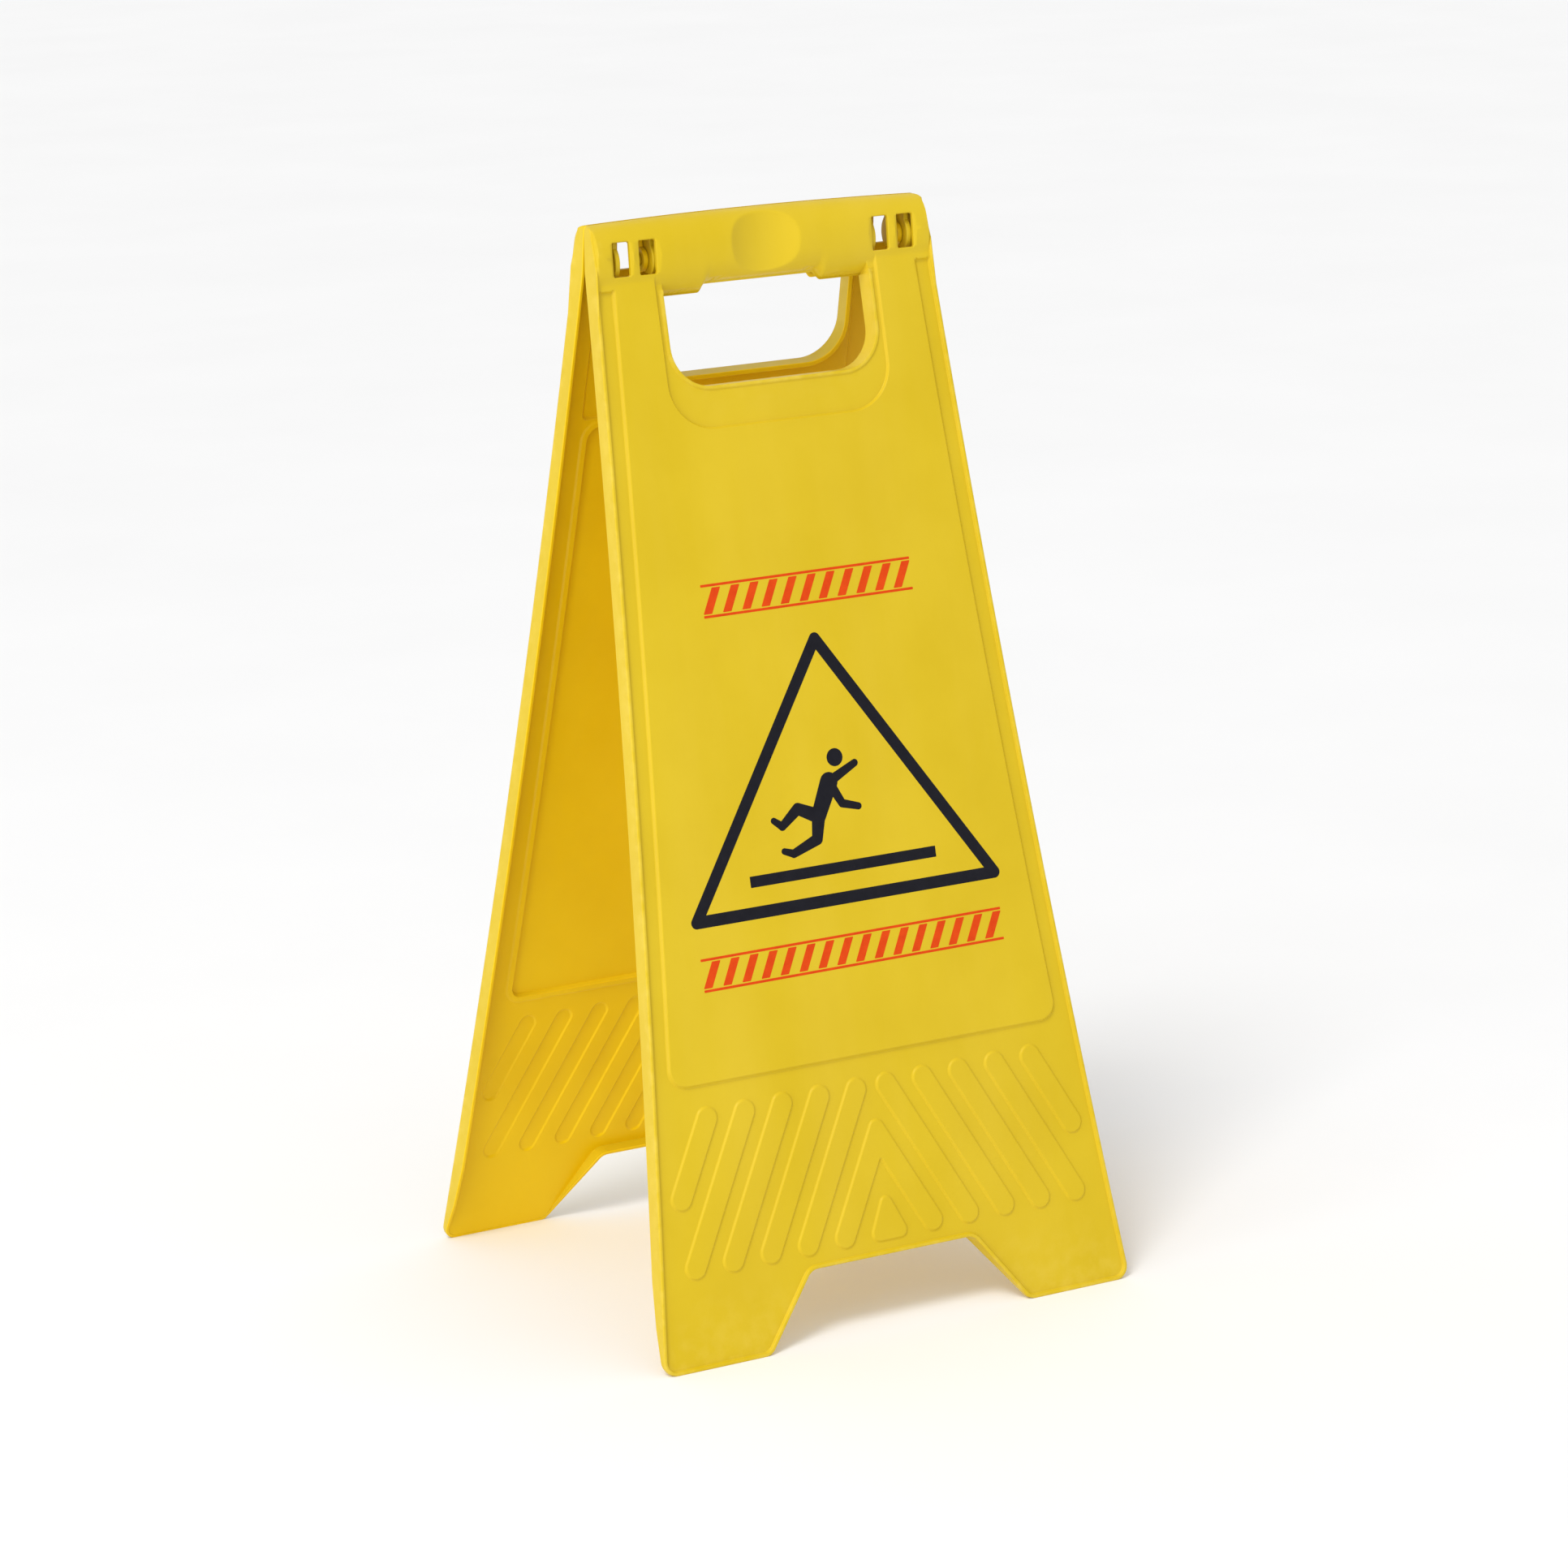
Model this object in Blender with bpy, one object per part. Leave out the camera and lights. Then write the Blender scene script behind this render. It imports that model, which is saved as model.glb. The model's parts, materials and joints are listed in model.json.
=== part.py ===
"""A-frame wet floor sign.

Two identical moulded leaves stand back to back. Each leaf is a shallow tray
with a raised printed panel, a carrying slot and half of a hollow handle along
its top. The two half handles meet when the sign stands open, which is the stop
of the hinge. Inside the handle, four plates on each leaf snap together with
the plates of the other leaf: two carry a snap pin and two have its hole.

Frame: metres, +Z up, X along the hinge axis, -Y towards the front leaf, and
the origin on the floor under the middle of the hinge axis.

A leaf is modelled upright about its hinge axis: x runs across it, "down" is
the distance below the hinge axis and "out" the distance outwards from the
plane where the two folded leaves meet.
"""

import math

import bmesh
import bpy
from mathutils import Matrix, Vector

# Overall sizes
LEAF_LENGTH = 0.600            # hinge axis to floor, along the leaf
HALF_ANGLE = math.radians(12.3)  # each leaf leans this far from upright
HEAD_HALF_WIDTH = 0.1040       # half width at the top of the leaf
FOOT_HALF_WIDTH = 0.1495       # half width at the foot
EDGE_SAG = 0.0048              # how far the side edges bow in at mid height

# Handle, half of an oval tube
CROWN_END = 0.0212             # top of the handle above the hinge axis, at its ends
CROWN_MIDDLE = 0.0230          # the same, at the middle
HANDLE_DROP = 0.0205           # bottom of the handle below the hinge axis
RELIEF_DROP = 0.0158           # the same, over the finger relief
RELIEF_HALF_WIDTH = 0.0340
RELIEF_RAMP = 0.0050
HANDLE_REACH = 0.0155          # how far the handle stands out from the hinge axis
HANDLE_ROUNDNESS = 2.3         # exponent of the oval: 2 is an ellipse
HANDLE_WALL = 0.0023
STOP_GAP = 0.00015             # half of the gap between the two half handles
END_OVERHANG = 0.0008          # the handle is this much longer than the leaf is wide
END_ROUND = 0.0035             # the handle's section shrinks over this length at each end
END_SHRINK = 0.10              # and by this share of its size
HOLLOW_DEPTH = 0.0040          # the hollow is cut this far past the open stop faces
THUMB_RADIUS = 0.045           # upright scoop in the middle of the handle
THUMB_DEPTH = 0.0053

# Tray
FOLD_GAP = 0.0004              # rim to folding plane, half the gap when folded
FIELD_FACE = 0.0103            # outer face of the sunken border and lower field
PANEL_FACE = 0.0120            # outer face of the raised panel and of the rim bead
SKIN = 0.0020
RIM_WALL = 0.0020
BEAD_WIDTH = 0.0022
TRAY_TOP = 0.0020              # where the tray starts below the hinge axis
SHOULDER_DROP = 0.0166         # the sunken border starts here
PANEL_MARGIN = 0.0110          # leaf edge to the foot of the panel's side
PANEL_DROP = 0.4490            # lower edge of the raised panel
PANEL_CORNER = 0.0100
STEP_SLOPE = 0.0012            # width of the slope at the panel's edge
RECESS_MARGIN = 0.0186         # leaf edge to the large recess in the leaf's back
RECESS_TOP = 0.0985
RECESS_BOTTOM = 0.4485
RECESS_CORNER = 0.0080
RIDGE_WIDTH = 0.0033           # low ridge around that recess
RIDGE_HEIGHT = 0.0010
SIDE_RECESS_INNER = 0.0715     # the two small recesses beside the slot
SIDE_RECESS_MARGIN = 0.0145
SIDE_RECESS_BOTTOM = 0.0945

# Carrying slot and the sunken band around it
SLOT_HALF_WIDTH = 0.0645
SLOT_DROP = 0.0730
SLOT_CORNER = 0.0230
SLOT_RISE = 0.0120             # the slot's cut starts above the hinge axis, inside the handle
BAND_HALF_WIDTH = 0.0690
BAND_DROP = 0.0960
BAND_CORNER = 0.0260

# Feet and the notch between them
FOOT_CORNER = 0.0080
FOOT_PAD = 0.0040              # solid height of the foot at the floor
FOOT_TAPER = 0.0350            # length over which the rim runs out to the foot
FOOT_PAD_INNER = 0.0085
NOTCH_TOP_HALF_WIDTH = 0.0520
NOTCH_FOOT_HALF_WIDTH = 0.0830
NOTCH_DROP = 0.5608

# Raised ribs of the lower field, nested like arrow heads
RIB_WIDTH = 0.0125
RIB_HEIGHT = 0.0010
RIB_SLOPE = 0.526              # sideways run per unit of drop
RIB_MARGIN = 0.0128             # leaf edge to the outermost rib
RIB_PITCH = 0.0446             # between arrow heads, down the leaf
RIB_FIRST_TIP = 0.4938         # tip of the lowest full arrow head
RIB_TOP = 0.4674
RIB_BOTTOM = 0.5470
RIB_COUNT = 5                  # pairs of ribs above the lowest arrow head
RIB_DRAFT = 0.0008             # slope of the ribs' sides

# Hinge plates, pins and the windows in front of them
WINDOW_HALF_HEIGHT = 0.0093
WINDOW_WIDTH = 0.0102
WINDOW_INNER = 0.0105          # the windows start this far out, inside the handle
WINDOW_CENTRES = (0.0728, 0.0889)
PLATE_THICKNESS = 0.0028
PLATE_RADIUS = 0.0070          # round end of a plate, which reaches into the other leaf
PLATE_FRONT_RADIUS = 0.0118    # round front of a plate, behind the windows
PLATE_ROOT = 0.0080            # the plate is this wide where it joins the handle's roof
PLATE_CLEARANCE = 0.0008       # from the open stop faces, above the round end
PIN_PLATES = (-0.0899, -0.0670)   # centres of the plates with a pin
HOLE_PLATES = (0.0701, 0.0930)    # centres of the plates with a hole
PIN_RADIUS = 0.0034
HOLE_RADIUS = 0.0039
PIN_LENGTH = 0.0062
LIP_RADIUS = 0.0044
LIP_LENGTH = 0.0020
LIP_TAPER = 0.0004             # the pin's end reaches this far past the lip
TIP_RADIUS = 0.0028

# Graphics, thin films on the raised panel
FILM = 0.0003
FILM_GAP = 0.0003
TRIANGLE_TOP = 0.2174           # corners of the middle line of its stroke
TRIANGLE_BOTTOM = 0.3614
TRIANGLE_HALF_WIDTH = 0.0948
TRIANGLE_STROKE = 0.0068
FIGURE_HEAD_RADIUS = 0.0050
FLOOR_LINE_DROP = 0.3444
FLOOR_LINE_HALF = 0.0590
FLOOR_LINE_WIDTH = 0.0062
STRIPE_HEIGHT = 0.0170
STRIPE_LEAN = 0.0070
RULE_WIDTH = 0.0014
STRIPE_SHARE = 0.44            # inked share of a row
UPPER_STRIPES = (0.1890, 0.0660, 11)   # middle drop, half width, number of stripes
LOWER_STRIPES = (0.3905, 0.0955, 16)

# Reach of cutting solids past the faces they cut
BEYOND = 0.040
OVERLAP = 0.0002
WIDE = 0.200

ARC_STEPS = 6
EDGE_STEPS = 12
ROUND_STEPS = 24

HINGE_HEIGHT = LEAF_LENGTH * math.cos(HALF_ANGLE)

COLOURS = {
    "plastic": ((0.80, 0.57, 0.03, 1.0), 0.42),
    "black_ink": ((0.012, 0.011, 0.010, 1.0), 0.45),
    "red_ink": ((0.72, 0.06, 0.015, 1.0), 0.45),
}


def clear_scene():
    for old in list(bpy.data.objects):
        bpy.data.objects.remove(old, do_unlink=True)


def material(name):
    found = bpy.data.materials.get(name)
    if found:
        return found
    made = bpy.data.materials.new(name)
    made.use_nodes = True
    colour, roughness = COLOURS[name]
    shader = made.node_tree.nodes["Principled BSDF"]
    shader.inputs["Base Color"].default_value = colour
    shader.inputs["Roughness"].default_value = roughness
    shader.inputs["Metallic"].default_value = 0.0
    return made


# ---- outlines, as lists of (x, down) points ----

def fillet(corners):
    """Round each (x, down, radius) corner with an arc; a radius of 0 keeps it."""
    points = []
    count = len(corners)
    for index, (x, down, radius) in enumerate(corners):
        here = Vector((x, down))
        if radius == 0:
            points.append(here)
            continue
        before = Vector(corners[index - 1][:2])
        after = Vector(corners[(index + 1) % count][:2])
        to_before = (before - here).normalized()
        to_after = (after - here).normalized()
        half = to_before.angle(to_after) / 2
        middle = here + (to_before + to_after).normalized() * radius / math.sin(half)
        start = here + to_before * radius / math.tan(half) - middle
        sweep = math.pi - 2 * half
        turn = math.copysign(sweep, to_after.cross(to_before))
        for step in range(ARC_STEPS + 1):
            angle = turn * step / ARC_STEPS
            points.append(middle + Matrix.Rotation(angle, 2) @ start)
    return points


def mirrored(right_side):
    """Close an outline whose right side is given from top to bottom."""
    left_side = [(-corner[0],) + tuple(corner[1:]) for corner in reversed(right_side)]
    return right_side + left_side


def signed_area(outline):
    total = 0.0
    for index, point in enumerate(outline):
        total += outline[index - 1].cross(point)
    return total / 2


def inset(outline, distance):
    """Move every edge of the outline inwards by the same distance."""
    side = math.copysign(1.0, signed_area(outline))
    moved = []
    count = len(outline)
    for index, point in enumerate(outline):
        arriving = (point - outline[index - 1]).normalized()
        leaving = (outline[(index + 1) % count] - point).normalized()
        normal_in = Vector((-arriving.y, arriving.x)) * side
        normal_out = Vector((-leaving.y, leaving.x)) * side
        between = (normal_in + normal_out).normalized()
        moved.append(point + between * distance / between.dot(normal_in))
    return moved


def half_width(down):
    """Half width of the leaf at a distance below the hinge axis."""
    share = (down + CROWN_END) / (LEAF_LENGTH + CROWN_END)
    straight = HEAD_HALF_WIDTH + (FOOT_HALF_WIDTH - HEAD_HALF_WIDTH) * share
    return straight - EDGE_SAG * 4 * share * (1 - share)


def side_points(top, bottom, margin):
    """Points down the right edge, a margin inside it, without the lower corner."""
    drops = [top + (bottom - top) * step / EDGE_STEPS for step in range(EDGE_STEPS)]
    return [(half_width(down) - margin, down, 0) for down in drops]


def leaf_outline(foot_drop):
    right = side_points(TRAY_TOP, foot_drop, 0)
    right.append((half_width(foot_drop), foot_drop, FOOT_CORNER))
    right.append((NOTCH_FOOT_HALF_WIDTH, foot_drop, FOOT_CORNER))
    right.append((NOTCH_TOP_HALF_WIDTH, NOTCH_DROP, FOOT_CORNER))
    return fillet(mirrored(right))


def slot_outline(half, drop, corner):
    return fillet(mirrored([(half, -SLOT_RISE, 0), (half, drop, corner)]))


def panel_outline():
    right = side_points(0.0, PANEL_DROP, PANEL_MARGIN)
    right.append((half_width(PANEL_DROP) - PANEL_MARGIN, PANEL_DROP, PANEL_CORNER))
    return fillet(mirrored(right))


def capsule_outline(start, end, radius):
    """A bar with round ends around the line from start to end."""
    along = (end - start).normalized()
    side = Vector((-along.y, along.x)) * radius
    steps = 2 * ARC_STEPS
    points = []
    for centre, sign in ((start, 1), (end, -1)):
        for step in range(steps + 1):
            turn = Matrix.Rotation(math.pi * step / steps, 2)
            points.append(centre + turn @ (side * sign))
    return points


def circle_outline(centre, radius, steps=ROUND_STEPS):
    turns = [2 * math.pi * step / steps for step in range(steps)]
    return [centre + Vector((math.cos(turn), math.sin(turn))) * radius for turn in turns]


# ---- solids ----

def new_object(name, built):
    bmesh.ops.recalc_face_normals(built, faces=built.faces)
    mesh = bpy.data.meshes.new(name)
    built.to_mesh(mesh)
    built.free()
    made = bpy.data.objects.new(name, mesh)
    bpy.context.scene.collection.objects.link(made)
    return made


def loft(name, sections):
    """Join sections, lists of 3-D points of one length, and cap both ends."""
    built = bmesh.new()
    rings = [[built.verts.new(point) for point in section] for section in sections]
    count = len(rings[0])
    for near, far in zip(rings, rings[1:]):
        for index in range(count):
            after = (index + 1) % count
            built.faces.new((near[index], near[after], far[after], far[index]))
    built.faces.new(rings[0])
    built.faces.new(rings[-1])
    return new_object(name, built)


def plate(name, outline, inner, outer, slope=0.0):
    """Solid between two depths; its outer outline is smaller by the slope."""
    outer_outline = inset(outline, slope) if slope else outline
    low = [(point.x, -inner, -point.y) for point in outline]
    high = [(point.x, -outer, -point.y) for point in outer_outline]
    return loft(name, [low, high])


def across(name, outline, left, right):
    """Solid along x whose (out, down) outline is the same at both ends."""
    sections = []
    for x in (left, right):
        sections.append([(x, -point.x, -point.y) for point in outline])
    return loft(name, sections)


def combine(base, operation, tools):
    """Apply Boolean operations to base and remove the tools."""
    for tool in tools:
        step = base.modifiers.new(tool.name, "BOOLEAN")
        step.operation = operation
        step.solver = "EXACT"
        step.object = tool
    bpy.context.view_layer.update()
    graph = bpy.context.evaluated_depsgraph_get()
    result = bpy.data.meshes.new_from_object(base.evaluated_get(graph))
    base.modifiers.clear()
    base.data = result
    for tool in tools:
        bpy.data.objects.remove(tool, do_unlink=True)
    return base


# ---- handle ----

def handle_section(x, top, bottom, reach, inner_edge):
    """Half oval in the open position, from its lower lip out and up to the crown.

    Its inner edge stands upright above the hinge axis, where the open leaves
    meet, and follows the leaf's folding plane below it, where they close.
    """
    power = 2 / HANDLE_ROUNDNESS
    lip_turn = -math.atan((reach / bottom / math.tan(HALF_ANGLE)) ** (1 / power))
    points = []
    for step in range(ROUND_STEPS + 1):
        turn = lip_turn + (math.pi / 2 - lip_turn) * step / ROUND_STEPS
        out = reach * abs(math.cos(turn)) ** power
        rise = abs(math.sin(turn)) ** power
        rise *= top if turn > 0 else -bottom
        folding_plane = inner_edge - min(rise, 0.0) * math.tan(HALF_ANGLE)
        points.append((x, -max(out, folding_plane), rise))
    points.append((x, -inner_edge, 0.0))
    return points


def handle_bottom(x):
    """Drop of the handle's underside, less over the finger relief."""
    ramp = (abs(x) - RELIEF_HALF_WIDTH) / RELIEF_RAMP
    share = min(max(ramp, 0.0), 1.0)
    return RELIEF_DROP + (HANDLE_DROP - RELIEF_DROP) * share


def handle_solid(name, half_length, shrink, inner_edge):
    relief_end = RELIEF_HALF_WIDTH + RELIEF_RAMP
    right = [0.0, RELIEF_HALF_WIDTH, relief_end, (relief_end + half_length) / 2]
    right += [half_length - END_ROUND + shrink, half_length - END_ROUND / 3 + shrink / 2, half_length]
    stations = sorted({-x for x in right} | set(right))
    sections = []
    for x in stations:
        to_end = half_length - abs(x)
        round_end = 1.0
        if not shrink:
            round_end -= END_SHRINK * max(0.0, 1 - to_end / END_ROUND) ** 2
        bow = 1 - (x / half_length) ** 2
        top = (CROWN_END + (CROWN_MIDDLE - CROWN_END) * bow) * round_end - shrink
        bottom = handle_bottom(x) * round_end - shrink
        reach = HANDLE_REACH * round_end - shrink
        sections.append(handle_section(x, top, bottom, reach, inner_edge))
    solid = loft(name, sections)
    solid.data.transform(Matrix.Rotation(HALF_ANGLE, 4, "X"))
    return solid


def thumb_scoop(name, extra):
    centre = HANDLE_REACH - THUMB_DEPTH + THUMB_RADIUS
    outline = circle_outline(Vector((0, 0)), THUMB_RADIUS + extra, 3 * ROUND_STEPS)
    sections = []
    for height in (-BEYOND, BEYOND):
        sections.append([(point.x, point.y - centre, height) for point in outline])
    scoop = loft(name, sections)
    scoop.data.transform(Matrix.Rotation(HALF_ANGLE, 4, "X"))
    return scoop


# ---- hinge ----

def arc(radius, start, end):
    """Arc about the hinge axis as (out, down) points; a quarter turn points up."""
    points = []
    for step in range(ROUND_STEPS // 2 + 1):
        turn = start + (end - start) * step / (ROUND_STEPS // 2)
        points.append(Vector((math.cos(turn), -math.sin(turn))) * radius)
    return points


def hinge_plate(name, centre):
    """Plate hanging from the handle's roof to a round end about the hinge axis."""
    outline = arc(PLATE_RADIUS, math.radians(100), math.radians(270))
    outline += arc(PLATE_FRONT_RADIUS, math.radians(-45), math.radians(45))
    outline += [Vector((PLATE_ROOT, -BEYOND)), Vector((0.0, -BEYOND))]
    half = PLATE_THICKNESS / 2
    solid = across(name, outline, centre - half, centre + half)
    solid.data.transform(Matrix.Rotation(HALF_ANGLE, 4, "X"))
    within = handle_solid("roof", HEAD_HALF_WIDTH, HANDLE_WALL / 2, PLATE_CLEARANCE)
    round_end = across("round_end", circle_outline(Vector((0, 0)), PLATE_RADIUS), centre - half, centre + half)
    combine(within, "UNION", [round_end])
    return combine(solid, "INTERSECT", [within])


def round_bar(name, radius, left, right):
    return across(name, circle_outline(Vector((0, 0)), radius), left, right)


def snap_pin(centre):
    """Pin pointing away from the middle, with a lip that keeps it in its hole."""
    tip = centre - PLATE_THICKNESS / 2 - PIN_LENGTH
    shank = round_bar("shank", PIN_RADIUS, tip, centre)
    sections = []
    for x, radius in ((tip - LIP_TAPER, TIP_RADIUS), (tip + LIP_LENGTH / 2, LIP_RADIUS),
                      (tip + LIP_LENGTH, LIP_RADIUS)):
        ring = circle_outline(Vector((0, 0)), radius)
        sections.append([(x, point.x, point.y) for point in ring])
    lip = loft("lip", sections)
    return combine(shank, "UNION", [lip])


# ---- leaf ----

def shoulder():
    """Region along the top of the leaf where the raised face is full width."""
    return plate("shoulder", slot_outline(WIDE, SHOULDER_DROP, 0), 0.0, 2 * BEYOND)


def field_cutter():
    """Sunken border and lower field: inside the bead, around the raised panel."""
    field = plate("field", inset(leaf_outline(LEAF_LENGTH), BEAD_WIDTH), FIELD_FACE, BEYOND)
    panel = plate("panel", inset(panel_outline(), -STEP_SLOPE), 0.0, BEYOND + STEP_SLOPE)
    return combine(field, "DIFFERENCE", [shoulder(), panel])


def panel_chamfer():
    """Takes the square edge off the panel along its sides and bottom."""
    foot_of_step = inset(panel_outline(), -STEP_SLOPE)
    band = plate("chamfer", inset(foot_of_step, -OVERLAP), FIELD_FACE + OVERLAP, BEYOND)
    rise = PANEL_FACE - FIELD_FACE
    keep = plate("keep", foot_of_step, FIELD_FACE - rise / 2, PANEL_FACE + rise / 2, slope=STEP_SLOPE * 2)
    return combine(band, "DIFFERENCE", [keep, shoulder()])


def band_cutter():
    outline = slot_outline(BAND_HALF_WIDTH, BAND_DROP, BAND_CORNER)
    lowered = [Vector((point.x, max(point.y, 0.0))) for point in outline]
    return plate("band", inset(lowered, -STEP_SLOPE / 2), FIELD_FACE, BEYOND)


def recess_outline():
    """Large recess in the back of the leaf, behind the panel."""
    right = [(half_width(RECESS_TOP) - RECESS_MARGIN, RECESS_TOP, RECESS_CORNER)]
    right += side_points(RECESS_TOP, RECESS_BOTTOM, RECESS_MARGIN)[1:]
    right.append((half_width(RECESS_BOTTOM) - RECESS_MARGIN, RECESS_BOTTOM, RECESS_CORNER))
    return fillet(mirrored(right))


def side_recess(side):
    """Small recess between the slot and the leaf's edge."""
    corners = []
    for down in (TRAY_TOP, SIDE_RECESS_BOTTOM):
        corners.append((side * (half_width(down) - SIDE_RECESS_MARGIN), down))
    inner = side * SIDE_RECESS_INNER
    corners += [(inner, SIDE_RECESS_BOTTOM), (inner, TRAY_TOP)]
    return plate("side_recess", [Vector(corner) for corner in corners], 0.0, PANEL_FACE - SKIN)


def pocket_cutter():
    """Hollow behind the skin, which leaves the rim, the slot's wall and a low ridge."""
    hollow = plate("pocket", inset(leaf_outline(LEAF_LENGTH), RIM_WALL), -BEYOND, FIELD_FACE - SKIN)
    ridge = plate("ridge", inset(recess_outline(), -RIDGE_WIDTH), FIELD_FACE - SKIN - RIDGE_HEIGHT, BEYOND)
    combine(hollow, "DIFFERENCE", [ridge])
    recess = plate("recess", recess_outline(), 0.0, PANEL_FACE - SKIN)
    combine(hollow, "UNION", [recess, side_recess(1), side_recess(-1)])
    slot_wall = slot_outline(SLOT_HALF_WIDTH + RIM_WALL, SLOT_DROP + RIM_WALL, SLOT_CORNER + RIM_WALL)
    return combine(hollow, "DIFFERENCE", [plate("slot_wall", slot_wall, -2 * BEYOND, BEYOND)])


def foot_taper():
    start = LEAF_LENGTH - FOOT_TAPER
    outline = [Vector((0.0, start)), Vector((0.0, LEAF_LENGTH + BEYOND)),
               Vector((FOOT_PAD_INNER, LEAF_LENGTH + BEYOND)), Vector((FOOT_PAD_INNER, LEAF_LENGTH)),
               Vector((FOLD_GAP, start))]
    return across("foot_taper", outline, -WIDE, WIDE)


def floor_cutter():
    """Everything below the floor when the leaf leans at its half angle."""
    outline = [Vector((-WIDE, HINGE_HEIGHT)), Vector((WIDE, HINGE_HEIGHT)),
               Vector((WIDE, HINGE_HEIGHT + BEYOND)), Vector((-WIDE, HINGE_HEIGHT + BEYOND))]
    cutter = across("floor", outline, -WIDE, WIDE)
    cutter.data.transform(Matrix.Rotation(HALF_ANGLE, 4, "X"))
    return cutter


def window_cutters():
    cutters = []
    for side in (-1, 1):
        for centre in WINDOW_CENTRES:
            x = side * centre
            outline = [Vector((WINDOW_INNER, -WINDOW_HALF_HEIGHT)), Vector((BEYOND, -WINDOW_HALF_HEIGHT)),
                       Vector((BEYOND, WINDOW_HALF_HEIGHT)), Vector((WINDOW_INNER, WINDOW_HALF_HEIGHT))]
            cutters.append(across("window", outline, x - WINDOW_WIDTH / 2, x + WINDOW_WIDTH / 2))
    return cutters


def rib_lines():
    """Centre lines of the ribs: arrow heads cut off by a top and a bottom line."""
    lines = []
    for level in range(1, RIB_COUNT + 1):
        tip = RIB_FIRST_TIP - level * RIB_PITCH
        start = Vector((RIB_SLOPE * (RIB_TOP - tip), RIB_TOP))
        end = Vector((RIB_SLOPE * (RIB_BOTTOM - tip), RIB_BOTTOM))
        limit = half_width(end.y) - RIB_MARGIN - RIB_WIDTH / 2
        if end.x > limit:
            end = start + (end - start) * (limit - start.x) / (end.x - start.x)
        lines.append((start, end))
    lines.append((Vector((0.0, RIB_FIRST_TIP)), Vector((RIB_SLOPE * (RIB_BOTTOM - RIB_FIRST_TIP), RIB_BOTTOM))))
    return lines


def ribs():
    """All raised ribs as solids that reach into the skin."""
    solids = []
    bottom = FIELD_FACE - SKIN / 2
    top = FIELD_FACE + RIB_HEIGHT
    for start, end in rib_lines():
        for side in (1, -1):
            line = [Vector((side * point.x, point.y)) for point in (start, end)]
            outline = capsule_outline(line[0], line[1], RIB_WIDTH / 2)
            solids.append(plate("rib", outline, bottom, top, slope=RIB_DRAFT))
    tip = RIB_FIRST_TIP + RIB_PITCH
    flank = RIB_WIDTH / 2
    drop = fillet([(0.0, tip - flank * 1.7, flank / 2), (flank * 1.8, RIB_BOTTOM + flank, flank / 2),
                   (-flank * 1.8, RIB_BOTTOM + flank, flank / 2)])
    solids.append(plate("rib", drop, bottom, top, slope=RIB_DRAFT))
    return solids


def build_leaf(name):
    body = plate(name, leaf_outline(LEAF_LENGTH + FOOT_PAD), FOLD_GAP, PANEL_FACE)
    combine(body, "DIFFERENCE", [field_cutter(), panel_chamfer(), band_cutter()])
    combine(body, "UNION", ribs())
    slot = plate("slot", slot_outline(SLOT_HALF_WIDTH, SLOT_DROP, SLOT_CORNER), -BEYOND, 2 * BEYOND)
    combine(body, "DIFFERENCE", [slot])
    handle_half = HEAD_HALF_WIDTH + END_OVERHANG
    combine(body, "UNION", [handle_solid("handle", handle_half, 0.0, STOP_GAP)])
    hollow = handle_solid("hollow", handle_half - HANDLE_WALL, HANDLE_WALL, -HOLLOW_DEPTH)
    combine(hollow, "DIFFERENCE", [thumb_scoop("scoop_wall", HANDLE_WALL)])
    combine(body, "DIFFERENCE", [hollow, pocket_cutter(), thumb_scoop("scoop", 0.0)])
    combine(body, "DIFFERENCE", window_cutters() + [foot_taper(), floor_cutter()])
    for centre in PIN_PLATES:
        combine(body, "UNION", [hinge_plate("pin_plate", centre), snap_pin(centre)])
    for centre in HOLE_PLATES:
        with_hole = hinge_plate("hole_plate", centre)
        half = PLATE_THICKNESS
        combine(with_hole, "DIFFERENCE", [round_bar("hole", HOLE_RADIUS, centre - half, centre + half)])
        combine(body, "UNION", [with_hole])
    body.data.shade_smooth()
    body.data.set_sharp_from_angle(angle=math.radians(30))
    return body


# ---- graphics ----

def film(name, outlines):
    """One node of flat print: a thin solid for each outline."""
    inner = PANEL_FACE + FILM_GAP
    pieces = [plate(name, outline, inner, inner + FILM) for outline in outlines]
    base = pieces[0]
    if len(pieces) > 1:
        combine(base, "UNION", pieces[1:])
    return base


def warning_triangle(name):
    """Stroke with round outer corners and sharp inner ones."""
    half = TRIANGLE_STROKE / 2
    middle_line = [Vector((0.0, TRIANGLE_TOP)), Vector((TRIANGLE_HALF_WIDTH, TRIANGLE_BOTTOM)),
                   Vector((-TRIANGLE_HALF_WIDTH, TRIANGLE_BOTTOM))]
    ring = film(name, [fillet([(point.x, point.y, half) for point in inset(middle_line, -half)])])
    hole = plate("hole", inset(middle_line, half), 0.0, BEYOND)
    return combine(ring, "DIFFERENCE", [hole])


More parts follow.
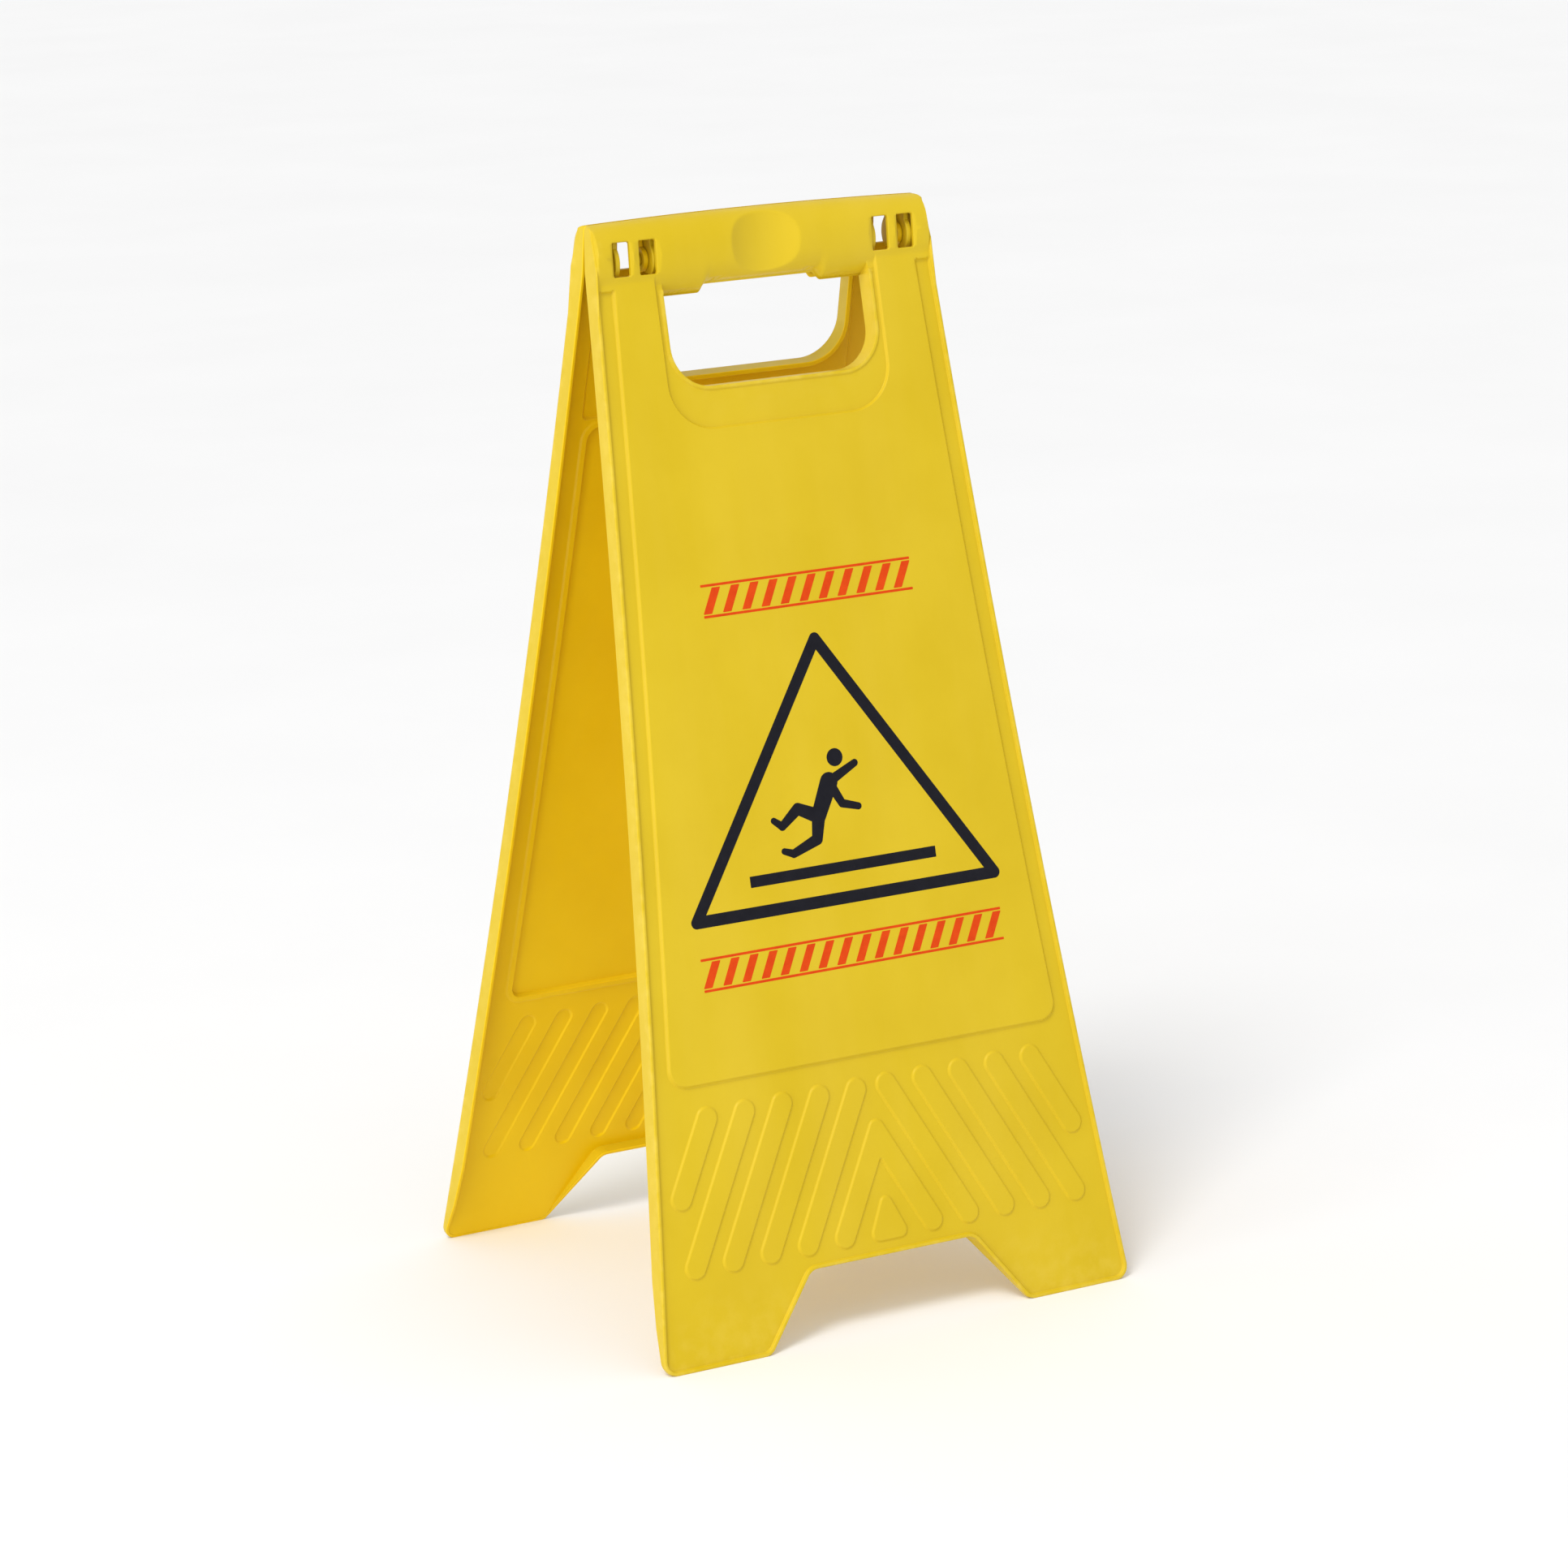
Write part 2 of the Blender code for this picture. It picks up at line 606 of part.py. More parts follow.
def slipping_figure(name):
    """A plain figure falling backwards: head, trunk, arms and legs as bars."""
    head = (0.0028, 0.2823)
    shoulder = (-0.0026, 0.2968)
    hip = (-0.0117, 0.3146)
    elbow = (0.0041, 0.3096)
    front_knee = (-0.0241, 0.3087)
    rear_knee = (-0.0142, 0.3270)
    bars = [
        (head, shoulder, 0.0024),
        (shoulder, hip, 0.0052),
        (shoulder, (0.0150, 0.2885), 0.0025),       # raised arm
        (shoulder, elbow, 0.0026),
        (elbow, (0.0140, 0.3125), 0.0024),
        (hip, front_knee, 0.0038),
        (front_knee, (-0.0349, 0.3170), 0.0029),
        (hip, rear_knee, 0.0038),
        (rear_knee, (-0.0299, 0.3328), 0.0029),
    ]
    outlines = [capsule_outline(Vector(start), Vector(end), radius) for start, end, radius in bars]
    body = film(name, outlines)
    round_head = film("head", [circle_outline(Vector(head), FIGURE_HEAD_RADIUS)])
    return combine(body, "UNION", [round_head])


def floor_line(name):
    half = FLOOR_LINE_WIDTH / 2
    top = FLOOR_LINE_DROP - half
    bottom = FLOOR_LINE_DROP + half
    return film(name, [fillet(mirrored([(FLOOR_LINE_HALF, top, 0), (FLOOR_LINE_HALF, bottom, 0)]))])


def stripe_row(name, middle, half, count):
    """Row of leaning hazard stripes between two thin rules, as wide as a line of lettering."""
    pitch = 2 * half / count
    width = pitch * STRIPE_SHARE
    top = middle - STRIPE_HEIGHT / 2
    bottom = middle + STRIPE_HEIGHT / 2
    outlines = []
    for index in range(count):
        left = -half + pitch * index + (pitch - width) / 2
        corners = [(left + STRIPE_LEAN / 2, top), (left + width + STRIPE_LEAN / 2, top),
                   (left + width - STRIPE_LEAN / 2, bottom), (left - STRIPE_LEAN / 2, bottom)]
        outlines.append([Vector(corner) for corner in corners])
    for line in (top, bottom):
        rule = [(half, line - RULE_WIDTH / 2, 0), (half, line + RULE_WIDTH / 2, 0)]
        outlines.append(fillet(mirrored(rule)))
    return film(name, outlines)


def build_graphics(side):
    return [
        (warning_triangle(side + "_warning_triangle"), "black_ink"),
        (slipping_figure(side + "_slipping_figure"), "black_ink"),
        (floor_line(side + "_floor_line"), "black_ink"),
        (stripe_row(side + "_upper_stripes", *UPPER_STRIPES), "red_ink"),
        (stripe_row(side + "_lower_stripes", *LOWER_STRIPES), "red_ink"),
    ]


# ---- assembly ----

def hinge_frame(name, turned):
    """Empty on the hinge axis that leans one leaf and everything on it."""
    frame = bpy.data.objects.new(name, None)
    bpy.context.scene.collection.objects.link(frame)
    frame.location = (0.0, 0.0, HINGE_HEIGHT)
    frame.rotation_euler = (-HALF_ANGLE, 0.0, math.pi if turned else 0.0)
    return frame


def build_side(side, turned):
    frame = hinge_frame(side + "_hinge_axis", turned)
    pieces = [(build_leaf(side + "_leaf"), "plastic")] + build_graphics(side)
    for piece, finish in pieces:
        own = material(finish)
        piece.data.materials.clear()
        piece.data.materials.append(own)
        piece.parent = frame


def main():
    clear_scene()
    build_side("front", turned=False)
    build_side("rear", turned=True)


main()
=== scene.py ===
"""Looks of the wet floor sign: fine moulded leaves, printed films, plastic and light."""

import json
import math

import bmesh
import bpy
import numpy as np
from mathutils import Matrix, Vector
from mathutils.geometry import delaunay_2d_cdt


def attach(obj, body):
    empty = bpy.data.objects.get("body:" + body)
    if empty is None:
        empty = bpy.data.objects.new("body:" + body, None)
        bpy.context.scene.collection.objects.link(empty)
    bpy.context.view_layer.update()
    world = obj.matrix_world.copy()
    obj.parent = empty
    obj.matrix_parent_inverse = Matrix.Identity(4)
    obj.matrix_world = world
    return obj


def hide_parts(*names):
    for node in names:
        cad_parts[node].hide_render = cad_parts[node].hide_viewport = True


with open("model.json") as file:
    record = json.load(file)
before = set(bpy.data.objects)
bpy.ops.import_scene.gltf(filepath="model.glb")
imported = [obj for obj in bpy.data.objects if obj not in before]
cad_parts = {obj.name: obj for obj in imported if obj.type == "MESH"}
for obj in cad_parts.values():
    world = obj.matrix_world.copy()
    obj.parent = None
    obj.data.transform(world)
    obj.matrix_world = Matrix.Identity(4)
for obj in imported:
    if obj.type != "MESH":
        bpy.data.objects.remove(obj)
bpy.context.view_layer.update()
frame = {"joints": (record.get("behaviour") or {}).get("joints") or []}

# ---- the hinge, as packed ----
hinge = frame["joints"][0]
HINGE_HEIGHT = hinge["pos_m"][2]
HALF_ANGLE = math.radians(hinge["range_deg"][1] / 2)
LEAN = math.sin(HALF_ANGLE)
RISE = math.cos(HALF_ANGLE)

# ---- driving dimensions of a leaf, in metres ----
# x runs across the leaf, "down" is the distance below the hinge axis and "out"
# the distance outwards from the plane where the folded leaves meet.
LEAF_LENGTH = HINGE_HEIGHT / RISE
HEAD_HALF_WIDTH = 0.1040
FOOT_HALF_WIDTH = 0.1495
EDGE_SAG = 0.0048

CROWN_END = 0.0212
CROWN_MIDDLE = 0.0230
CROWN_CORNER = 0.0036
HANDLE_DROP = 0.0205
RELIEF_DROP = 0.0158
RELIEF_HALF_WIDTH = 0.0340
RELIEF_RAMP = 0.0050
HANDLE_REACH = 0.0155
HANDLE_ROUNDNESS = 2.3
HANDLE_WALL = 0.0023
LIP_TURN = math.radians(-75)     # where the handle's underside ends
STOP_GAP = 0.00015
THUMB_RADIUS = 0.043
THUMB_FLOOR = 0.0102             # the scoop's floor at the hinge axis, measured outwards
THUMB_TILT = 0.09                # the floor comes closer in by this much per unit of drop
THUMB_HALF_WIDTH = 0.026
SCOOP_MIDDLE = -0.0040           # drop of the middle of its edge

FOLD_GAP = 0.0004
FIELD_FACE = 0.0103
PANEL_FACE = 0.0120
STEP_HEIGHT = PANEL_FACE - FIELD_FACE
SKIN = 0.0020
RIM_WALL = 0.0020
BEAD_WIDTH = 0.0022
SHOULDER_DROP = 0.0166
PANEL_MARGIN = 0.0110
PANEL_DROP = 0.4490
PANEL_CORNER = 0.0100
TRAY_TOP = 0.0030                # the leaf's face starts this far below the hinge axis
HANDLE_END = 0.0212              # below this drop there is no handle any more
HANDLE_JOIN = 0.0010             # size of the soft corner between the handle and the face
SCOOP_JOIN = 0.0007              # the same at the edge of the thumb scoop
BARREL_FOOT = 0.0125             # the flat face comes out from under the handle here
EMERGE_DROPS = (-0.0300, BARREL_FOOT - 0.0005, BARREL_FOOT + 0.0010, 0.0155, 0.0172)
RECESS_MARGIN = 0.0186           # leaf edge to the recess in its back
RECESS_TOP = 0.0985
RECESS_BOTTOM = 0.4485
RECESS_TOP_CORNER = 0.0090
RECESS_BOTTOM_CORNER = 0.0060
RIDGE_WIDTH = 0.0033             # low ridge around that recess
RIDGE_HEIGHT = 0.0010
SMALL_RECESS = (0.0715, 0.0145, 0.0945)   # inner edge, margin to the leaf's edge, lower end

SLOT_HALF_WIDTH = 0.0645
SLOT_DROP = 0.0730
SLOT_DRAFT = 0.0010              # the slot is this much smaller all round at the back
SLOT_CORNER = 0.0230
BAND_HALF_WIDTH = 0.0690
BAND_DROP = 0.0960
BAND_CORNER = 0.0260

FOOT_CORNER = 0.0080
FOOT_TAPER = 0.0350
FOOT_PAD_INNER = 0.0085
NOTCH_TOP_HALF_WIDTH = 0.0520
NOTCH_FOOT_HALF_WIDTH = 0.0830
NOTCH_DROP = 0.5608
NOTCH_BEAD_SHIFT = 0.55          # sideways run of the bead on the notch, in bead widths

RIB_WIDTH = 0.0125
RIB_HEIGHT = 0.0010
RIB_SLOPE = 0.526
RIB_MARGIN = 0.0128              # leaf edge to the outermost rib
RIB_PITCH = 0.0446
RIB_FIRST_TIP = 0.4938
RIB_TOP = 0.4674
RIB_BOTTOM = 0.5470
RIB_COUNT = 5                    # pairs of ribs above the lowest arrow head
ARROW_ROUND = 0.76               # radius of the arrow's outer tip, in rib radii
DROP_RISE = 1.12                 # small drop under the arrow head: the reach of its tip
DROP_SPREAD = 0.85               # and the spread of its sides, against the arrow head's

WINDOW_HALF_HEIGHT = 0.0093
WINDOW_WIDTH = 0.0102
WINDOW_CORNER = 0.0010
WINDOW_CENTRES = (0.0728, 0.0889)
PLATE_THICKNESS = 0.0028
PLATE_RADIUS = 0.0070
PLATE_FRONT_RADIUS = 0.0118
PIN_PLATES = (-0.0899, -0.0670)
HOLE_PLATES = (0.0701, 0.0930)
PIN_RADIUS = 0.0034
HOLE_RADIUS = 0.0039
PIN_LENGTH = 0.0062
LIP_RADIUS = 0.0044

# Radii and half widths of the moulded edges
EDGE_ROUND = 0.0008
BEAD_SLOPE = 0.0006              # half widths of the slopes
PANEL_SLOPE = 0.0011
BAND_SLOPE = 0.0007
SHOULDER_SLOPE = 0.0007
RIB_ROUND = 0.0009
WINDOW_ROUND = 0.0009
SLOT_BEAD_WIDTH = 0.0021
SLOT_BEAD_HEIGHT = 0.0009
SLOT_BEAD_SLOPE = 0.0006
SLOT_ROUND = 0.0004
RECESS_SLOPE = 0.0007
RIDGE_SLOPE = 0.0009
BACK_RIB_MARGIN = 0.0012         # the backs of the ribs are this much narrower
PLATE_CHAMFER = 0.0003
PLATE_ROOF = ((0.0080, 0.0160), (0.0060, 0.0190), (0.0010, 0.0200))   # (out, height) inside the roof
ROUND_STEPS = 32

# Prints, thin layers of ink on the raised panel
INK_BOTTOM = PANEL_FACE - 0.00004
INK_TOP = PANEL_FACE + 0.00006
TRIANGLE_TOP = 0.2174            # corners of the middle line of its stroke
TRIANGLE_BOTTOM = 0.3614
TRIANGLE_HALF_WIDTH = 0.0948
TRIANGLE_STROKE = 0.0068
HEAD_RADIUS = 0.0050
FLOOR_LINE_DROP = 0.3444
FLOOR_LINE_HALF = 0.0590
FLOOR_LINE_WIDTH = 0.0062
STRIPE_HEIGHT = 0.0170
STRIPE_LEAN = 0.0070
RULE_WIDTH = 0.0014
STRIPE_SHARE = 0.44              # inked share of a row
UPPER_STRIPES = (0.1890, 0.0660, 11)      # middle drop, half width, number of stripes
LOWER_STRIPES = (0.3905, 0.0955, 16)


# ---- outlines, as lists of (x, down) points ----

def fillet(corners, steps=8):
    """Round each (x, down, radius) corner with an arc; a radius of 0 keeps it."""
    points = []
    count = len(corners)
    for index, (x, down, radius) in enumerate(corners):
        here = Vector((x, down))
        if radius == 0:
            points.append(here)
            continue
        before = Vector(corners[index - 1][:2])
        after = Vector(corners[(index + 1) % count][:2])
        to_before = (before - here).normalized()
        to_after = (after - here).normalized()
        half = to_before.angle(to_after) / 2
        middle = here + (to_before + to_after).normalized() * radius / math.sin(half)
        start = here + to_before * radius / math.tan(half) - middle
        turn = math.copysign(math.pi - 2 * half, to_after.cross(to_before))
        for step in range(steps + 1):
            points.append(middle + Matrix.Rotation(turn * step / steps, 2) @ start)
    return points


def mirrored(right_side):
    """Close an outline whose right side is given from top to bottom."""
    return right_side + [(-x, down, radius) for x, down, radius in reversed(right_side)]


def inset(outline, distance):
    """Move every edge of the outline inwards by the same distance."""
    area = sum(outline[index - 1].cross(point) for index, point in enumerate(outline))
    side = math.copysign(1.0, area)
    moved = []
    for index, point in enumerate(outline):
        arriving = (point - outline[index - 1]).normalized()
        leaving = (outline[(index + 1) % len(outline)] - point).normalized()
        normal_in = Vector((-arriving.y, arriving.x)) * side
        normal_out = Vector((-leaving.y, leaving.x)) * side
        between = (normal_in + normal_out).normalized()
        moved.append(point + between * distance / between.dot(normal_in))
    return moved


def half_width(down):
    """Half width of the leaf at a distance below the hinge axis."""
    share = (down + CROWN_END) / (LEAF_LENGTH + CROWN_END)
    straight = HEAD_HALF_WIDTH + (FOOT_HALF_WIDTH - HEAD_HALF_WIDTH) * share
    return straight - EDGE_SAG * 4 * share * (1 - share)


def side_points(top, bottom, margin, steps=24):
    """Points down the right edge, a margin inside it, between two drops."""
    drops = [top + (bottom - top) * step / steps for step in range(1, steps)]
    return [(half_width(down) - margin, down, 0) for down in drops]


def crown_height(x):
    """Top of the handle above the hinge axis."""
    bow = 1 - (x / HEAD_HALF_WIDTH) ** 2
    return CROWN_END + (CROWN_MIDDLE - CROWN_END) * np.maximum(bow, 0.0)


def floor_drop(out):
    """Drop at which a point of the leaf reaches the floor."""
    return (HINGE_HEIGHT + out * LEAN) / RISE


def leaf_outline():
    """The whole leaf: crown of the handle, sides, feet and notch."""
    foot = floor_drop(PANEL_FACE)
    right = [(HEAD_HALF_WIDTH * step / 10, -crown_height(HEAD_HALF_WIDTH * step / 10) * RISE, 0)
             for step in range(1, 10)]
    top = -CROWN_END * RISE
    right.append((half_width(top), top, CROWN_CORNER))
    right += side_points(top, foot, 0)
    right.append((half_width(foot), foot, FOOT_CORNER))
    right.append((NOTCH_FOOT_HALF_WIDTH, foot, FOOT_CORNER))
    right.append((NOTCH_TOP_HALF_WIDTH, NOTCH_DROP, FOOT_CORNER))
    return fillet(mirrored(right))


def top_points(margin):
    """Start of a long outline: far above the face, then close steps where it emerges."""
    return [(half_width(down) - margin, down, 0) for down in EMERGE_DROPS]


def border_outline():
    """Inner edge of the rim bead."""
    right = top_points(BEAD_WIDTH) + side_points(EMERGE_DROPS[-1], LEAF_LENGTH, BEAD_WIDTH)
    foot = floor_drop(PANEL_FACE) - BEAD_WIDTH
    right.append((half_width(foot) - BEAD_WIDTH, foot, FOOT_CORNER - BEAD_WIDTH))
    shift = BEAD_WIDTH * NOTCH_BEAD_SHIFT
    right.append((NOTCH_FOOT_HALF_WIDTH + shift, foot, FOOT_CORNER - BEAD_WIDTH))
    right.append((NOTCH_TOP_HALF_WIDTH + shift, NOTCH_DROP - BEAD_WIDTH, FOOT_CORNER + BEAD_WIDTH))
    return fillet(mirrored(right))


def panel_outline():
    """Edge of the raised panel."""
    right = top_points(PANEL_MARGIN) + side_points(EMERGE_DROPS[-1], PANEL_DROP - PANEL_CORNER, PANEL_MARGIN)
    right.append((half_width(PANEL_DROP) - PANEL_MARGIN, PANEL_DROP, PANEL_CORNER))
    return fillet(mirrored(right))


def recess_outline():
    """Large recess in the back of the leaf, behind the panel."""
    right = [(half_width(RECESS_TOP) - RECESS_MARGIN, RECESS_TOP, RECESS_TOP_CORNER)]
    right += side_points(RECESS_TOP + 0.012, RECESS_BOTTOM - 0.010, RECESS_MARGIN)
    right.append((half_width(RECESS_BOTTOM) - RECESS_MARGIN, RECESS_BOTTOM, RECESS_BOTTOM_CORNER))
    return fillet(mirrored(right))


def small_recesses():
    """Recesses on both sides of the slot, behind the strips of the panel."""
    inner, margin, bottom = SMALL_RECESS
    outlines = []
    for side in (1, -1):
        corners = [(side * inner, BARREL_FOOT, 0),
                   (side * (half_width(BARREL_FOOT) - margin), BARREL_FOOT, 0),
                   (side * (half_width(bottom) - margin), bottom, 0.003), (side * inner, bottom, 0.003)]
        outlines.append(fillet(corners, steps=4))
    return outlines


def below(outline, drop):
    """The part of a mirrored outline that lies below a drop, as an open chain."""
    return [point for point in outline if point.y > drop]


def underside(x):
    """Drop of the handle's underside below the hinge axis, less over the relief."""
    share = np.clip((np.abs(x) - RELIEF_HALF_WIDTH) / RELIEF_RAMP, 0.0, 1.0)
    return RELIEF_DROP + (HANDLE_DROP - RELIEF_DROP) * share * share * (3 - 2 * share)


def ramp_stations():
    """Places along the handle where the finger relief runs out."""
    return RELIEF_HALF_WIDTH + RELIEF_RAMP * np.linspace(0.08, 1.0, 10)


def slot_outline(wall):
    """Edge of the slot: the handle's lip along its top, then the sides and bottom.

    With a wall thickness it is the line on the far side of the slot's wall.
    """
    side = SLOT_HALF_WIDTH + wall
    stations = np.concatenate([np.linspace(0.002, RELIEF_HALF_WIDTH, 12), ramp_stations(),
                               np.linspace(0.0425, SLOT_HALF_WIDTH - 0.0005, 8)])
    right = [(float(x), float(section_point(x, LIP_TURN, wall)[0]), 0) for x in stations]
    right.append((side, right[-1][1], 0))
    right += [(side, down, 0) for down in (0.0215, 0.0245, 0.0300, 0.0400)]
    right.append((side, SLOT_DROP + wall, SLOT_CORNER + wall))
    return fillet(mirrored(right), steps=14)


def band_outline():
    """Edge of the shallow band around the slot."""
    right = [(BAND_HALF_WIDTH, down, 0) for down in EMERGE_DROPS + (0.0220, 0.0300, 0.0450)]
    right.append((BAND_HALF_WIDTH, BAND_DROP, BAND_CORNER))
    return fillet(mirrored(right), steps=14)


def window_outlines():
    outlines = []
    for side in (-1, 1):
        for centre in WINDOW_CENTRES:
            left = side * centre - WINDOW_WIDTH / 2
            right = left + WINDOW_WIDTH
            outlines.append(fillet([(right, -WINDOW_HALF_HEIGHT, WINDOW_CORNER),
                                    (right, WINDOW_HALF_HEIGHT, WINDOW_CORNER),
                                    (left, WINDOW_HALF_HEIGHT, WINDOW_CORNER),
                                    (left, -WINDOW_HALF_HEIGHT, WINDOW_CORNER)], steps=4))
    return outlines


def bar_outline(start, end, radius):
    """Bar with round ends around the line from start to end."""
    along = (end - start).normalized()
    side = Vector((-along.y, along.x)) * radius
    tail = start - along * radius
    tip = end + along * radius
    corners = [tail + side, tip + side, tip - side, tail - side]
    return fillet([(point.x, point.y, radius * 0.999) for point in corners])


def rib_outlines():
    """Ribs of the lower field: arrow heads cut off by a top and a bottom line."""
    outlines = []
    for level in range(1, RIB_COUNT + 1):
        tip = RIB_FIRST_TIP - level * RIB_PITCH
        start = Vector((RIB_SLOPE * (RIB_TOP - tip), RIB_TOP))
        end = Vector((RIB_SLOPE * (RIB_BOTTOM - tip), RIB_BOTTOM))
        limit = half_width(end.y) - RIB_MARGIN - RIB_WIDTH / 2
        if end.x > limit:
            end = start + (end - start) * (limit - start.x) / (end.x - start.x)
        for side in (1, -1):
            outlines.append(bar_outline(Vector((side * start.x, start.y)), Vector((side * end.x, end.y)),
                                        RIB_WIDTH / 2))
    radius = RIB_WIDTH / 2
    along = Vector((RIB_SLOPE, 1.0)).normalized()
    across = Vector((along.y, -along.x)) * radius
    reach = radius / along.x
    foot = Vector((0.0, RIB_FIRST_TIP)) + along * (RIB_BOTTOM - RIB_FIRST_TIP) / along.y
    tip_outer = foot + across + along * radius
    tip_inner = foot - across + along * radius
    right = [(0.0, RIB_FIRST_TIP - reach, radius * ARROW_ROUND), (tip_outer.x, tip_outer.y, radius * 0.99),
             (tip_inner.x, tip_inner.y, radius * 0.99)]
    arrow = right + [(0.0, RIB_FIRST_TIP + reach, radius * 0.1)]
    arrow += [(-x, down, round_) for x, down, round_ in reversed(right[1:])]
    outlines.append(fillet(arrow))
    low = RIB_BOTTOM + radius
    high = RIB_FIRST_TIP + RIB_PITCH - reach * DROP_RISE
    spread = (low - high) * RIB_SLOPE * DROP_SPREAD
    outlines.append(fillet([(0.0, high, radius * 0.6), (spread, low, radius * 0.7),
                            (-spread, low, radius * 0.7)]))
    return outlines


# ---- heights of the two skins over (x, down) ----

def section_point(x, turn, shrink):
    """(down, out) of the handle's oval section at one turn, in the leaf's frame."""
    power = 2 / HANDLE_ROUNDNESS
    reach = (HANDLE_REACH - shrink) * np.abs(np.cos(turn)) ** power
    height = np.where(turn > 0, crown_height(x) - shrink, -(underside(x) - shrink))
    height = height * np.abs(np.sin(turn)) ** power
    return -height * RISE + reach * LEAN, height * LEAN + reach * RISE


def handle_out(x, down, shrink):
    """How far out the handle's skin lies; far inside where there is no handle."""
    low = np.full_like(x, LIP_TURN)
    high = np.full_like(x, math.pi / 2)
    for _ in range(40):
        middle = (low + high) / 2
        too_low = section_point(x, middle, shrink)[0] > down
        low = np.where(too_low, middle, low)
        high = np.where(too_low, high, middle)
    beyond = down > section_point(x, np.full_like(x, LIP_TURN), shrink)[0] + 1e-5
    return np.where(beyond, -1.0, section_point(x, (low + high) / 2, shrink)[1])


def smooth_max(a, b, blend):
    """The larger of two heights, with a soft corner where they cross."""
    overlap = np.clip(blend - np.abs(a - b), 0.0, None) / blend
    return np.maximum(a, b) + overlap * overlap * blend / 4


def smooth_min(a, b, blend):
    return -smooth_max(-a, -b, blend)


def ramp(distance, half):
    """0 well outside an edge and 1 well inside it, with a smooth step between."""
    share = np.clip(distance / half / 2 + 0.5, 0.0, 1.0)
    return share * share * (3 - 2 * share)


def signed_distance(points, outline):
    """Distance of each point to the outline, positive inside it."""
    ends = np.array([tuple(point) for point in outline])
    starts = np.roll(ends, 1, axis=0)
    along = ends - starts
    lengths = np.maximum((along ** 2).sum(1), 1e-18)
    result = np.empty(len(points))
    for first in range(0, len(points), 2000):
        part = points[first:first + 2000, None, :]
        share = np.clip(((part - starts) * along).sum(2) / lengths, 0.0, 1.0)
        gaps = part - (starts + share[..., None] * along)
        nearest = np.sqrt((gaps ** 2).sum(2).min(1))
        above = part[..., 1] < ends[:, 1]
        crosses = above != (part[..., 1] < starts[:, 1])
        rise = np.where(np.abs(along[:, 1]) < 1e-12, 1e-12, along[:, 1])
        at = starts[:, 0] + (part[..., 1] - starts[:, 1]) / rise * along[:, 0]
        inside = (crosses & (part[..., 0] < at)).sum(1) % 2 == 1
        result[first:first + 2000] = np.where(inside, nearest, -nearest)
    return result


def edge_drop(distance, radius):
    """How far a rounded edge has fallen away at a distance inside it."""
    share = np.clip(1 - distance / radius, 0.0, 1.0)
    return radius * (1 - np.sqrt(np.clip(1 - share * share, 0.0, 1.0)))


